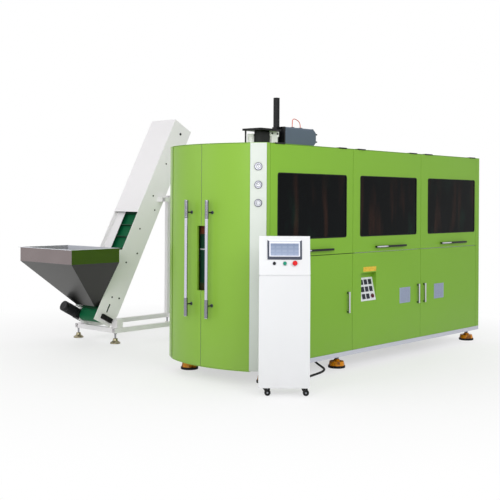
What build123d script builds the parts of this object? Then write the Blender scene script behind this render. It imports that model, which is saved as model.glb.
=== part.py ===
from build123d import *
import math
import os

# A blow moulding machine that makes plastic bottles, with its operator console and its preform elevator.
# X runs along the machine's front from its left corner, Y away from the operator, and Z up from the floor.
# Every size is in millimetres. At the end the origin moves to under the front left foot.

# Machine cabinet
BODY_LENGTH = 3607.0
BODY_DEPTH = 1170.0
BODY_TOP = 2032.0
SKIRT_BOTTOM = 124.0
SKIRT_TOP = 164.0
SHEET = 2.0
PANEL_SHEET = 3.0
DOOR_SEAM_HEIGHT = 1064.0
DOOR_SEAM_GAP = 6.0
DOOR_THICKNESS = 20.0
DOOR_GAP = 4.0
SEAM_SHIFTS = (15.667, -12.667)
BAY_SEAMS = (BODY_LENGTH / 3 + SEAM_SHIFTS[0], BODY_LENGTH * 2 / 3 + SEAM_SHIFTS[1])
LEFT_STRIP = 45.0
RIGHT_STRIP = 72.0
FRAME_TUBE = 60.0
FRAME_WALL = 3.0
FRAME_SETBACK = 24.0
SKIRT_BEAM_DEPTH = 180.0

# Windows and handles of the upper doors
WINDOW_LEFT_MARGINS = (102.0, 121.0, 141.0)
WINDOW_RIGHT_MARGINS = (105.0, 87.0, 36.0)
WINDOW_BOTTOM = 1221.0
WINDOW_TOP = 1778.0
WINDOW_CORNER = 14.0
WINDOW_LIP = 4.0
WINDOW_FRAME = 22.0
PANE_LAND = 10.0
PANE_THICKNESS = 5.0
PANE_CLEARANCE = 0.5
BAR_LENGTH = 520.0
BAR_HEIGHT = 20.0
BAR_DEPTH = 12.0
BAR_STANDOFF = 24.0
BAR_CENTRE_HEIGHT = 1112.0
BAR_POST = 14.0
BAR_POST_INSET = 30.0

# Roof hinges
HINGE_LEFT_INSETS = ((63.0, 181.0), (73.0, 187.0), (79.0, 208.0))
HINGE_RIGHT_INSETS = ((112.0, 218.0), (87.0, 210.0), (35.0, 145.0))
HINGE_OUT = 4.0
HINGE_RISE = 5.0
HINGE_BARREL = 6.0
HINGE_LEAF = 4.0
HINGE_LEAF_DEPTH = 34.0

# Lower doors
PIVOT_INSET = 8.0
PIVOT_RADIUS = 4.0
PIVOT_CLEARANCE = 0.1
PIVOT_ENGAGEMENT = 8.0
PULL_BOTTOM = 517.0
PULL_TOP = 711.0
PULL_WIDTH = 20.0
PULL_DEPTH = 10.0
PULL_STANDOFF = 18.0
PULL_CENTRES = (BAY_SEAMS[0] - 76.0, BAY_SEAMS[1] - 56.0, BAY_SEAMS[1] + 62.0)
GRILLE_SIZE = (190.0, 154.0)
GRILLE_HEIGHT = 613.0
GRILLE_CENTRES = (BAY_SEAMS[1] - 288.0, BAY_SEAMS[1] + 360.0)
GRILLE_THICKNESS = 3.0
GRILLE_SLOTS = 9
GRILLE_SLOT_HEIGHT = 6.0
LABEL_X = (BAY_SEAMS[0] + 172.0, BAY_SEAMS[0] + 382.0)
LABEL_Z = (881.0, 925.0)
LABEL_THICKNESS = 1.0

# Meter recess in the middle lower door
RECESS_X = (BAY_SEAMS[0] + 137.0, BAY_SEAMS[0] + 382.0)
RECESS_Z = (600.0, 870.0)
RECESS_DEPTH = 52.0
METER_PLATE_TOP = 822.0
METER_PLATE_THICKNESS = 3.0
METER_SIZE = 48.0
METER_PITCH = 68.0
METER_THICKNESS = 5.0
BUTTON_CLEARANCE = 0.3
RED_BUTTON_HEAD = 20.0
RED_BUTTON_STEM = 10.0
RED_BUTTON_TRAVEL = 5.0

# Curved end with two doors
END_RADIUS = 1114.0
END_SEAM_Y = BODY_DEPTH / 2
POST_END_X = -80.0
POST_END_Y = 113.0
POST_THICKNESS = 4.0
END_DOOR_BOTTOM = 126.0
END_HINGE_Y = 117.0
END_EDGE_X = POST_END_X + 3.074
END_CENTRE_X = END_EDGE_X + math.sqrt(END_RADIUS**2 - (END_SEAM_Y - END_HINGE_Y) ** 2)
END_PIVOT_DEPTH = 9.0
SLOT_HALF_WIDTH = 50.0
SLOT_BOTTOM = 772.0
SLOT_TOP = 1327.0
TUBE_HANDLE_OFFSET = 124.0
TUBE_HANDLE_RADIUS = 15.5
TUBE_SLEEVE_RADIUS = 17.0
TUBE_SLEEVE_LENGTH = 155.0
TUBE_HANDLE_BOTTOM = 550.0
TUBE_HANDLE_TOP = 1545.0
TUBE_STANDOFF = 81.5
TUBE_STANDOFF_RADIUS = 6.0
TUBE_STANDOFF_HEIGHTS = (650.0, 1443.0)
SILL_THICKNESS = 6.0

# Gauges on the front corner post
GAUGE_HEIGHTS = (1527.0, 1679.0, 1832.0)
GAUGE_RADIUS = 27.0
GAUGE_BODY_RADIUS = 23.0
GAUGE_BEZEL = 14.0
GAUGE_DEPTH = 30.0
GAUGE_DIAL_DEPTH = 4.0
GAUGE_RIM = 4.0

# Machine feet
FOOT_INSET = 120.0
FOOT_XS = (140.0, BAY_SEAMS[0] - 78.0, BODY_LENGTH - 57.0)
FOOT_YS = (FOOT_INSET, BODY_DEPTH - FOOT_INSET)
FOOT_RADIUS = 80.0
FOOT_PAD_HEIGHT = 22.0
FOOT_CAP_RADIUS = 74.0
FOOT_CAP_HEIGHT = 38.0
FOOT_NECK_RADIUS = 24.0
FOOT_NECK_HEIGHT = 18.0
FOOT_STUD_RADIUS = 12.0

# Openings and ports of the rear and right end
OUTLET_HALF_WIDTH = 185.0
OUTLET_Y = (BODY_DEPTH / 2 - OUTLET_HALF_WIDTH, BODY_DEPTH / 2 + OUTLET_HALF_WIDTH)
OUTLET_Z = (1120.0, 1500.0)
INLET_MARGIN = 30.0
INLET_Z = (1420.0, 1660.0)
BULKHEAD_REACH = 607.0
BULKHEAD_X = BODY_LENGTH - BULKHEAD_REACH
BULKHEAD_Z = (400.0, 520.0)
BULKHEAD_THICKNESS = 12.0
PORT_PITCH = 120.0
PORT_XS = tuple(BULKHEAD_X + PORT_PITCH * number for number in (1, 2, 3, 4))
PORT_RADII = (16.5, 16.5, 13.0, 25.0)

# Inside the cabinet
BED_THICKNESS = 30.0
BED_FRONT = 55.0
MOULD_CENTRE_X = 802.0
MOULD_HALF = 110.0
MOULD_OPENING = 60.0
MOULD_Y = OUTLET_Y
MOULD_Z = (1130.0, 1450.0)
TIE_BAR_RADIUS = 20.0
TIE_BAR_CLEARANCE = 0.1
TIE_BAR_HALF_PITCH = 155.0
TIE_BAR_YS = (BODY_DEPTH / 2 - TIE_BAR_HALF_PITCH, BODY_DEPTH / 2 + TIE_BAR_HALF_PITCH)
TIE_BAR_ZS = (1165.0, 1415.0)
PLATEN_THICKNESS = 40.0
PLATEN_REACH = 300.0
PLATEN_MARGIN = 30.0
CAVITY_HALF_PITCH = 80.0
CAVITY_YS = (BODY_DEPTH / 2 - CAVITY_HALF_PITCH, BODY_DEPTH / 2 + CAVITY_HALF_PITCH)
CAVITY_RADIUS = 34.0
CAVITY_NECK = 14.0
CAVITY_BOTTOM = 1180.0
CAVITY_SHOULDER = 1340.0
OVEN_RIGHT_MARGIN = 307.0
OVEN_X = (1420.0, BODY_LENGTH - OVEN_RIGHT_MARGIN)
OVEN_Z = (1250.0, 1760.0)
OVEN_HALF_PITCH = 205.0
OVEN_YS = (BODY_DEPTH / 2 - OVEN_HALF_PITCH, BODY_DEPTH / 2 + OVEN_HALF_PITCH)
OVEN_DEPTH = 120.0
OVEN_SHEET = 4.0
LAMP_COUNT = 6
LAMP_RADIUS = 7.0
LAMP_PITCH = 75.0
OVEN_LEG = 80.0
OVEN_END_MARGIN = 20.0

# Stretch unit on the roof
STRETCH_Y = BODY_DEPTH / 2
GUIDE_XS = (482.0, 722.0)
GUIDE_Y = STRETCH_Y + 97.0
GUIDE_RADIUS = 8.0
TOP_PLATE_X = (450.0, 744.0)
TOP_PLATE_Y = (STRETCH_Y - 115.0, STRETCH_Y + 115.0)
TOP_PLATE_RISE = 155.0
TOP_PLATE_THICKNESS = 18.0
TOP_PLATE_Z = (BODY_TOP + TOP_PLATE_RISE, BODY_TOP + TOP_PLATE_RISE + TOP_PLATE_THICKNESS)
GEARBOX_X = (543.0, 655.0)
GEARBOX_RISE = 28.0
GEARBOX_BOTTOM = BODY_TOP + GEARBOX_RISE
GEARBOX_HALF_WIDTH = 45.0
BRACKET_X = (655.0, 776.0)
BRACKET_HALF_WIDTH = 55.0
BRACKET_STEP = TOP_PLATE_Z[0] - 47.0
BRACKET_STEP_X = 18.0
AIR_CYLINDER_X = 536.0
AIR_CYLINDER_Y = STRETCH_Y + 79.0
AIR_CYLINDER_RADIUS = 33.0
AIR_CYLINDER_TOP = TOP_PLATE_Z[0] - 27.0
COLUMN_SIZE = 44.0
COLUMN_RISE = 478.0
COLUMN_Z = (1600.0, BODY_TOP + COLUMN_RISE)
COLUMN_CLEARANCE = 0.3
MOTOR_RISE = 123.0
MOTOR_Z = BODY_TOP + MOTOR_RISE
MOTOR_FLANGE_X = (828.0, 846.0)
MOTOR_END = 1248.0
MOTOR_CAP_END = 1306.0
MOTOR_WIDTH = 150.0
MOTOR_HEIGHT = 170.0
MOTOR_CORNER = 16.0
MOTOR_CAP_BEVEL = (45.0, 40.0)
CONNECTOR_SIZE = 30.0
CONNECTOR_HEIGHT = 10.0
CONNECTOR_XS = (1034.0, 1155.0)
STUD_RADIUS = 7.0
STUD_LENGTH = 30.0
STUD_INSET = 14.0
STUD_HALF_PITCH = 36.0
CARRIAGE_DROP = 152.0
CARRIAGE_HEIGHT = 70.0
CARRIAGE_Z = (BODY_TOP - CARRIAGE_DROP, BODY_TOP - CARRIAGE_DROP + CARRIAGE_HEIGHT)
CARRIAGE_X_MARGIN = 45.0
CARRIAGE_Y_MARGIN = 85.0
STRETCH_ROD_RADIUS = 7.0
STRETCH_ROD_BOTTOM = 1590.0

# Operator console, in its own axes: along its width, then its depth, then up
CONSOLE_CORNER = (-336.0, -221.0)
CONSOLE_TURN = -47.78
CONSOLE_WIDTH = 405.0
CABINET_DEPTH = 250.0
CABINET_BOTTOM = 68.0
CABINET_TOP = 955.0
HEAD_GAP = 6.0
HEAD_NECK_INSET = 6.0
HEAD_TOP = 1264.0
HEAD_DEPTH = 130.0
HEAD_SLOPE = 88.0
SCREEN_SIZE = (274.0, 164.0)
SCREEN_CENTRE = 1159.0
SCREEN_THICKNESS = 6.0
SCREEN_RECESS = 2.0
SCREEN_BEZEL = 14.0
CONTROL_HEIGHT = 1050.0
CONTROL_XS = (121.0, 204.0, 283.0)
STEM_RADIUS = 8.0
SELECTOR_RADIUS = 12.0
START_RADIUS = 14.0
STOP_RADIUS = 20.0
STOP_NECK = 13.0

# Casters
CASTER_XS = (50.0, 355.0)
CASTER_YS = (45.0, 205.0)
WHEEL_RADIUS = 25.0
WHEEL_WIDTH = 20.0
AXLE_RADIUS = 4.0
AXLE_CLEARANCE = 0.1
CASTER_TRAIL = 22.0
CASTER_PLATE = 60.0
CASTER_PLATE_THICKNESS = 3.0
CROWN_RADIUS = 21.0
CROWN_THICKNESS = 5.0
CASTER_GAP = 0.3
CHEEK_THICKNESS = 3.0
KINGPIN_RADIUS = 5.0

# Preform elevator, in slope axes: along the belt from the tail roller, then out from the belt
SLOPE_ANGLE = 62.0
TAIL_X = 577.0
TAIL_Z = 265.0
ROLLER_DISTANCE = 2320.0
CASING_Y = (2800.0, 3200.0)
CASING_START = -68.0
CASING_END = 2430.0
CASING_OUT = 147.0
CASING_BACK = -138.0
CASING_SHEET = 4.0
CASING_TAIL_CUT = (145.0, 48.0)
COVER_END = 2150.0
HOOD_START = 1221.0
HOOD_SHEET = 3.0
HOOD_SIDE = 60.0
ROLLER_RADIUS = 50.0
BELT_THICKNESS = 4.0
BELT_SIDE_GAP = 6.0
ROLLER_CLEARANCE = 0.3
CLEAT_HEIGHT = 36.0
CLEAT_THICKNESS = 6.0
CLEAT_PITCH = 145.0
CLEAT_INSET = 12.0
SHAFT_RADIUS = 15.0
SHAFT_CLEARANCE = 0.3
BEARING_HALF_LENGTH = 25.0
TAIL_BEARING_HALF_HEIGHT = 72.0
HEAD_BEARING_HALF_HEIGHT = 58.0
BEARING_THICKNESS = 32.0
TAKEUP_SLOT = (62.0, 158.0)
TAKEUP_SLOT_OUT = 20.0
TAKEUP_SLOT_WIDTH = 18.0
SCREW_RADIUS = 9.0
SCREW_HEIGHT = 4.0
SCREW_ROW = (236.0, 417.0, 30.0)
SCREW_COUNT = 5
SCREW_ROW_BACK = (264.0, 546.0, -66.0)
SCREW_BACK_COUNT = 3
MOTOR_BOX = 110.0
MOTOR_BOX_WIDTH = 90.0
DRIVE_RADIUS = 52.0
DRIVE_LENGTH = 160.0
FAN_COWL_LENGTH = 45.0
FAN_COWL_RADIUS = 56.0

# Elevator base
RAIL_YS = (2700.0, 3340.0)
RAIL_X = (600.0, 2000.0)
RAIL_TUBE = 50.0
RAIL_BOTTOM = 112.0
BASE_FOOT_RADIUS = 56.0
BASE_FOOT_HEIGHT = 22.0
BASE_STUD_RADIUS = 10.0
BASE_FOOT_INSET = 27.0
TAIL_BRACKET_HEIGHT = 90.0
UPRIGHT_TOP = 1600.0
CROSS_HEIGHT = 1550.0

# Hopper
RIM_X = (-75.0, 545.0)
RIM_Y = (2542.0, 3440.0)
RIM_HEIGHT = 1035.0
RIM_LIP = 18.0
SKIRT_HEIGHT = 150.0
THROAT_X = (455.0, 508.0)
THROAT_Y = (2840.0, 3160.0)
THROAT_HEIGHT = 400.0
HOPPER_SHEET = 3.0
HOPPER_BRACKET_Z = (905.0, 1000.0)
HOPPER_BRACKET_END = 850.0

# Preform chute from the elevator's head to the cabinet
CHUTE_X = (1730.0, 1950.0)
CHUTE_TOP_Y = 3200.0
CHUTE_TOP_Z = 1960.0
CHUTE_END_Y = BODY_DEPTH - 170.0
CHUTE_END_Z = 1460.0
CHUTE_WALL = 110.0
CHUTE_FLANGE = 30.0
INLET_X = (CHUTE_X[0] - INLET_MARGIN, CHUTE_X[1] + INLET_MARGIN)
BAFFLE_TOP = 2190.0
STRUT = 30.0

# Cords
CONDUIT_DIAMETER = 20.0
CONDUIT_GLAND_RADIUS = 17.0
CONDUIT_GLAND_LENGTH = 12.0
CONDUIT_GLAND_WIDTH = 340.0
CONDUIT_GLAND_HEIGHT = 100.0
CONDUIT_BLOCK_X = (BAY_SEAMS[0] - 26.0, BAY_SEAMS[0] + 26.0)
CONDUIT_BLOCK_Y = (620.0, 690.0)
CONDUIT_BLOCK_BOTTOM = 84.0
CONDUIT_FIRST_RUN = 82.0
CONDUIT_LAST_RUN = 60.0
CONDUIT_ROUTE_START = 218.0
CONDUIT_ROUTE_LENGTH = BAY_SEAMS[0] - CONDUIT_ROUTE_START
CONDUIT_ROUTE = (
    (0, -180, 54), (0.09, -110, 16), (0.212, -56, 10), (0.342, -12, 10), (0.482, 12, 10), (0.622, 46, 10),
    (0.732, 112, 10), (0.812, 212, 10), (0.887, 312, 10), (0.952, 408, 22), (0.99, 496, 68),
)
CABLE_DIAMETER = 7.0
CABLE_FIRST_RUN = 36.0
CABLE_ROUTE = ((1046, 6, 74), (1080, 9, 84), (1134, 3, 64))


UPWARD = (Align.CENTER, Align.CENTER, Align.MIN)


def block(x, y, z):
    """A box between two coordinates along each axis."""
    corner = Pos(x[0], y[0], z[0])
    return corner * Box(x[1] - x[0], y[1] - y[0], z[1] - z[0], align=(Align.MIN, Align.MIN, Align.MIN))


def beam(x, y, z, wall=FRAME_WALL):
    """A square or flat tube along its longest side, open at both ends."""
    spans = [x, y, z]
    lengths = [side[1] - side[0] for side in spans]
    along = lengths.index(max(lengths))
    inner = [side if axis == along else (side[0] + wall, side[1] - wall) for axis, side in enumerate(spans)]
    return block(x, y, z) - block(*inner)


def rod(start, end, radius):
    """A round bar from one point to another."""
    way = Vector(*end) - Vector(*start)
    bar = Cylinder(radius, way.length, align=UPWARD)
    return Plane(origin=start, z_dir=way) * bar


def prism_along_x(outline, x):
    """A side outline of Y and Z points, carried along X."""
    plane = Plane(origin=(x[0], 0, 0), x_dir=(0, 1, 0), z_dir=(1, 0, 0))
    return extrude(plane * Polygon(*outline, align=None), x[1] - x[0], dir=(1, 0, 0))


def prism_along_y(outline, y):
    """A front outline of X and Z points, carried along Y."""
    plane = Plane(origin=(0, y[0], 0), x_dir=(1, 0, 0), z_dir=(0, -1, 0))
    return extrude(plane * Polygon(*outline, align=None), y[1] - y[0], dir=(0, 1, 0))


def prism_up(outline, z):
    """A plan outline of X and Y points, carried up."""
    return extrude(Plane.XY.offset(z[0]) * Polygon(*outline, align=None), z[1] - z[0], dir=(0, 0, 1))


def hexahedron(lower, upper):
    """A solid with four lower and four upper corners, whose six faces are flat."""
    rings = [Face(Wire.make_polygon(lower)), Face(Wire.make_polygon(upper))]
    for index in range(4):
        after = (index + 1) % 4
        rings.append(Face(Wire.make_polygon([lower[index], lower[after], upper[after], upper[index]])))
    return Solid(Shell(rings))


def rounded_upright(x, y, z, radius):
    """A box whose four edges along Y are rounded."""
    solid = block(x, y, z)
    return fillet(solid.edges().filter_by(Axis.Y), radius)


def save(name, *pieces):
    """Moves the pieces so that the origin is under the front left foot, and writes them as one file."""
    solids = [solid for piece in pieces for solid in piece.solids()]
    group = Compound(children=[Pos(-FOOT_XS[0], -FOOT_YS[0], 0) * solid for solid in solids])
    export_step(group, f"parts/{name}.step")


# Machine cabinet

def front_edges():
    """The edges of the three front bays along X."""
    return LEFT_STRIP, *BAY_SEAMS, BODY_LENGTH - RIGHT_STRIP


def door_bounds():
    """The left and right edge of each front door, a half gap inside its bay."""
    edges = front_edges()
    half = DOOR_GAP / 2
    return [(left + half, right - half) for left, right in zip(edges, edges[1:])]


LOWER_DOOR_Z = (SKIRT_TOP + DOOR_GAP / 2, DOOR_SEAM_HEIGHT - DOOR_SEAM_GAP / 2)
UPPER_DOOR_Z = (DOOR_SEAM_HEIGHT + DOOR_SEAM_GAP / 2, BODY_TOP - 1 - HINGE_RISE)
PANEL_TOP = BODY_TOP - PANEL_SHEET
TONGUE_THICKNESS = DOOR_SEAM_GAP / 2
TONGUE_BOTTOM = LOWER_DOOR_Z[1] + (DOOR_SEAM_GAP - TONGUE_THICKNESS) / 2
BED_TOP = TONGUE_BOTTOM + BED_THICKNESS
LOWER_HINGE_SIDES = (0, 0, 1)


def pivot_point(index):
    """Where the upright pivot of a lower door stands in plan."""
    side = LOWER_HINGE_SIDES[index]
    inward = 1 if side == 0 else -1
    return door_bounds()[index][side] + inward * PIVOT_INSET, PIVOT_INSET


def arc_x(y, radius=END_RADIUS):
    """The X of the curved end at a given Y."""
    return END_CENTRE_X - math.sqrt(radius**2 - (y - END_SEAM_Y) ** 2)


def end_pivot(side):
    """Where the upright pivot of an end door stands: side -1 is the near door and 1 the far one."""
    y = END_SEAM_Y + side * (END_SEAM_Y - END_HINGE_Y - PIVOT_INSET)
    return arc_x(y) + END_PIVOT_DEPTH, y


def make_plinth():
    """The ring of flat beams under the cabinet, with the lower pivots and the conduit's gland block."""
    z = (SKIRT_BOTTOM, SKIRT_TOP)
    inside = (SKIRT_BEAM_DEPTH, BODY_DEPTH - SKIRT_BEAM_DEPTH)
    pieces = [beam((0, BODY_LENGTH), (0, SKIRT_BEAM_DEPTH), z)]
    pieces.append(beam((0, BODY_LENGTH), (inside[1], BODY_DEPTH), z))
    for centre in (FRAME_TUBE / 2, *BAY_SEAMS, BODY_LENGTH - FRAME_TUBE / 2):
        pieces.append(beam((centre - FRAME_TUBE / 2, centre + FRAME_TUBE / 2), inside, z))
    for index in range(len(LOWER_HINGE_SIDES)):
        x, y = pivot_point(index)
        pieces.append(rod((x, y, SKIRT_TOP), (x, y, LOWER_DOOR_Z[0] + PIVOT_ENGAGEMENT), PIVOT_RADIUS))
    sill_z = SKIRT_BOTTOM - SILL_THICKNESS
    sill = Pos(END_CENTRE_X, END_SEAM_Y, sill_z) * Cylinder(
        END_RADIUS - SHEET, SILL_THICKNESS, align=UPWARD
    )
    reach = (END_HINGE_Y, 2 * END_SEAM_Y - END_HINGE_Y)
    pieces.append(sill & block((POST_END_X * 3, FRAME_TUBE), reach, (sill_z, SKIRT_BOTTOM)))
    for side in (-1, 1):
        x, y = end_pivot(side)
        top = END_DOOR_BOTTOM + PIVOT_ENGAGEMENT
        pieces.append(rod((x, y, SKIRT_BOTTOM), (x, y, top), PIVOT_RADIUS))
    pieces.append(block(CONDUIT_BLOCK_X, CONDUIT_BLOCK_Y, (CONDUIT_BLOCK_BOTTOM, SKIRT_BOTTOM)))
    save("plinth_frame", *pieces)


def make_feet():
    """Six levelling feet, each a rubber pad under a metal cap with its stud."""
    pads = []
    caps = []
    cap_top = FOOT_PAD_HEIGHT + FOOT_CAP_HEIGHT
    neck_top = cap_top + FOOT_NECK_HEIGHT
    for x in FOOT_XS:
        for y in FOOT_YS:
            pad = rod((x, y, 0), (x, y, FOOT_PAD_HEIGHT), FOOT_RADIUS)
            pads.append(fillet(pad.edges(), 3))
            cap = Pos(x, y, FOOT_PAD_HEIGHT) * Cone(
                FOOT_CAP_RADIUS, FOOT_CAP_RADIUS - 8, FOOT_CAP_HEIGHT, align=UPWARD
            )
            neck = Pos(x, y, cap_top) * Cone(
                FOOT_NECK_RADIUS + 12, FOOT_NECK_RADIUS, FOOT_NECK_HEIGHT, align=UPWARD
            )
            stud = rod((x, y, neck_top), (x, y, SKIRT_BOTTOM), FOOT_STUD_RADIUS)
            caps.append(cap + neck + stud)
    save("foot_pads", *pads)
    save("foot_caps", *caps)


def make_upright_frame():
    """Posts, mid rails and header rails of square tube, with the upper pivots of the lower doors."""
    pieces = []
    front = (FRAME_SETBACK, FRAME_SETBACK + FRAME_TUBE)
    rear = (BODY_DEPTH - PANEL_SHEET - FRAME_TUBE, BODY_DEPTH - PANEL_SHEET)
    half = FRAME_TUBE / 2
    left_post = PANEL_SHEET + half
    right_post = BODY_LENGTH - PANEL_SHEET - half
    centres = (left_post, *BAY_SEAMS, right_post)
    header = (PANEL_TOP - FRAME_TUBE, PANEL_TOP)
    middle = (TONGUE_BOTTOM - FRAME_TUBE, TONGUE_BOTTOM)
    for y in (front, rear):
        for centre in centres:
            pieces.append(beam((centre - half, centre + half), y, (SKIRT_TOP, PANEL_TOP)))
        for before, after in zip(centres, centres[1:]):
            for z in (header, middle):
                pieces.append(beam((before + half, after - half), y, z))
    for centre in centres:
        for z in (header, middle):
            pieces.append(beam((centre - half, centre + half), (front[1], rear[0]), z))
    for index in range(len(LOWER_HINGE_SIDES)):
        x, y = pivot_point(index)
        tongue_z = (TONGUE_BOTTOM, TONGUE_BOTTOM + TONGUE_THICKNESS)
        tongue = block((x - PIVOT_INSET, x + PIVOT_INSET), (SHEET, BED_FRONT - SHEET), tongue_z)
        pin = rod((x, y, LOWER_DOOR_Z[1] - PIVOT_ENGAGEMENT), (x, y, TONGUE_BOTTOM), PIVOT_RADIUS)
        pieces.append(tongue + pin)
    save("upright_frame", *pieces)


def post_plane(z):
    """A plane whose X runs along the front corner post's outer face and whose Z points out of it."""
    along = Vector(POST_END_X, POST_END_Y, 0).normalized()
    outward = Vector(-POST_END_Y, POST_END_X, 0).normalized()
    middle = (POST_END_X / 2, POST_END_Y / 2, z)
    return Plane(origin=middle, x_dir=along, z_dir=outward)


def mirror_end(shape):
    """The same shape at the rear corner of the curved end."""
    return mirror(shape, about=Plane(origin=(0, END_SEAM_Y, 0), z_dir=(0, 1, 0)))


def make_corner_trims():
    """The slanted white corner posts, the front one with holes for its gauges, and the narrow front strip."""
    face = Vector(POST_END_Y, -POST_END_X, 0).normalized() * POST_THICKNESS
    outline = [(0, 0), (POST_END_X, POST_END_Y), (POST_END_X + face.X, POST_END_Y + face.Y), (face.X, face.Y)]
    z = (SKIRT_BOTTOM, PANEL_TOP)
    post = prism_up(outline, z)
    limit = block((POST_END_X * 2, 0), (0, POST_END_Y), z)
    front_post = post & limit
    rear_post = mirror_end(front_post)
    for height in GAUGE_HEIGHTS:
        hole = Cylinder(GAUGE_BODY_RADIUS + COLUMN_CLEARANCE, POST_THICKNESS * 4)
        front_post -= post_plane(height) * hole
    strip = block((SHEET * 2, LEFT_STRIP - DOOR_GAP / 2), (0, PANEL_SHEET), (SKIRT_TOP, BODY_TOP))
    stay_z = (BODY_TOP / 2, BODY_TOP / 2 + FRAME_TUBE)
    stay = block((PANEL_SHEET * 3, LEFT_STRIP - DOOR_GAP / 2), (PANEL_SHEET, FRAME_SETBACK), stay_z)
    save("corner_trims", front_post, rear_post, strip, stay)


def end_outline(z, thickness, inset=0.0, front=0.0, rear=0.0):
    """The cabinet's plan outline with its curved left end, as a flat plate."""
    tip = arc_x(END_HINGE_Y) + inset
    far_y = 2 * END_SEAM_Y - END_HINGE_Y
    edges = Curve() + [
        Line((0, front), (BODY_LENGTH, front)),
        Line((BODY_LENGTH, front), (BODY_LENGTH, BODY_DEPTH - rear)),
        Line((BODY_LENGTH, BODY_DEPTH - rear), (0, BODY_DEPTH - rear)),
        Line((0, BODY_DEPTH - rear), (tip, far_y)),
        ThreePointArc((tip, far_y), (arc_x(END_SEAM_Y) + inset, END_SEAM_Y), (tip, END_HINGE_Y)),
        Line((tip, END_HINGE_Y), (0, front)),
    ]
    return extrude(Plane.XY.offset(z) * make_face(edges), thickness, dir=(0, 0, 1))


def make_roof():
    """The roof sheet with the hole for the actuator column and the upper pivots of the end doors."""
    roof = end_outline(PANEL_TOP, PANEL_SHEET, front=PANEL_SHEET)
    half = COLUMN_SIZE / 2 + COLUMN_CLEARANCE
    x = (MOULD_CENTRE_X - half, MOULD_CENTRE_X + half)
    roof -= block(x, (STRETCH_Y - half, STRETCH_Y + half), (PANEL_TOP - 1, BODY_TOP + 1))
    pins = []
    for side in (-1, 1):
        px, py = end_pivot(side)
        pins.append(rod((px, py, PANEL_TOP - DOOR_GAP - PIVOT_ENGAGEMENT), (px, py, PANEL_TOP), PIVOT_RADIUS))
    save("roof_panel", roof, *pins)


def hinge_spans():
    """Where the two hinges of each upper door begin and end along X."""
    edges = front_edges()
    spans = []
    for left, right, near, far in zip(edges, edges[1:], HINGE_LEFT_INSETS, HINGE_RIGHT_INSETS):
        spans.append((left + near[0], left + near[1]))
        spans.append((right - far[1], right - far[0]))
    return spans


def make_roof_hinges():
    """Six black hinges along the roof's front edge: a leaf on the roof and a barrel in front of it."""
    axis_z = BODY_TOP - 1
    pieces = []
    for x0, x1 in hinge_spans():
        barrel = rod((x0, -HINGE_OUT, axis_z), (x1, -HINGE_OUT, axis_z), HINGE_BARREL)
        leaf = block((x0, x1), (-HINGE_OUT, HINGE_LEAF_DEPTH), (BODY_TOP, BODY_TOP + HINGE_LEAF))
        pieces.append(barrel + leaf)
    save("roof_hinges", *pieces)


def make_rear_panel():
    """The rear wall as sheets around the preform inlet, with a thicker bulkhead plate for the ports."""
    y = (BODY_DEPTH - PANEL_SHEET, BODY_DEPTH)
    z = (SKIRT_TOP, PANEL_TOP)
    pieces = [block((0, INLET_X[0]), y, z), block((INLET_X[1], BULKHEAD_X), y, z)]
    pieces.append(block(INLET_X, y, (SKIRT_TOP, INLET_Z[0])))
    pieces.append(block(INLET_X, y, (INLET_Z[1], PANEL_TOP)))
    right = (BULKHEAD_X, BODY_LENGTH - PANEL_SHEET)
    pieces.append(block(right, y, (SKIRT_TOP, BULKHEAD_Z[0])))
    pieces.append(block(right, y, (BULKHEAD_Z[1], PANEL_TOP)))
    half = FRAME_TUBE / 2
    plate_x = (BULKHEAD_X, BODY_LENGTH - PANEL_SHEET)
    plate_front = BODY_DEPTH - PANEL_SHEET
    plate = block(plate_x, (plate_front, plate_front + BULKHEAD_THICKNESS), BULKHEAD_Z)
    height = sum(BULKHEAD_Z) / 2
    for x, radius in zip(PORT_XS, PORT_RADII):
        plate -= rod((x, BODY_DEPTH - half, height), (x, BODY_DEPTH + half, height), radius)
    pieces.append(plate)
    save("rear_panel", *pieces)


def make_right_end():
    """The right end wall as sheets around the bottle outlet, and the front strip folded from it."""
    x = (BODY_LENGTH - PANEL_SHEET, BODY_LENGTH)
    y = (PANEL_SHEET, BODY_DEPTH)
    pieces = [block(x, y, (SKIRT_TOP, OUTLET_Z[0])), block(x, y, (OUTLET_Z[1], PANEL_TOP))]
    pieces.append(block(x, (PANEL_SHEET, OUTLET_Y[0]), OUTLET_Z))
    pieces.append(block(x, (OUTLET_Y[1], BODY_DEPTH), OUTLET_Z))
    strip_x = (BODY_LENGTH - RIGHT_STRIP + DOOR_GAP / 2, BODY_LENGTH)
    pieces.append(block(strip_x, (0, PANEL_SHEET), (SKIRT_TOP, BODY_TOP)))
    save("right_end_panel", *pieces)


def make_gauges():
    """Three round pressure gauges, each with a raised rim round its dial and its body behind the post."""
    gauges = []
    for height in GAUGE_HEIGHTS:
        bezel = Cylinder(GAUGE_RADIUS, GAUGE_BEZEL, align=UPWARD)
        dial = Cylinder(GAUGE_RADIUS - GAUGE_RIM, GAUGE_DIAL_DEPTH, align=UPWARD)
        body = Cylinder(GAUGE_BODY_RADIUS, GAUGE_DEPTH, align=(Align.CENTER, Align.CENTER, Align.MAX))
        gauge = bezel + body - Pos(0, 0, GAUGE_BEZEL - GAUGE_DIAL_DEPTH) * dial
        gauges.append(post_plane(height) * gauge)
    save("gauges", *gauges)


# Front doors

def door_pan(x, z):
    """A sheet door with a return flange all round its back."""
    inner_x = (x[0] + SHEET, x[1] - SHEET)
    inner_z = (z[0] + SHEET, z[1] - SHEET)
    return block(x, (0, DOOR_THICKNESS), z) - block(inner_x, (SHEET, DOOR_THICKNESS + 1), inner_z)


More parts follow.
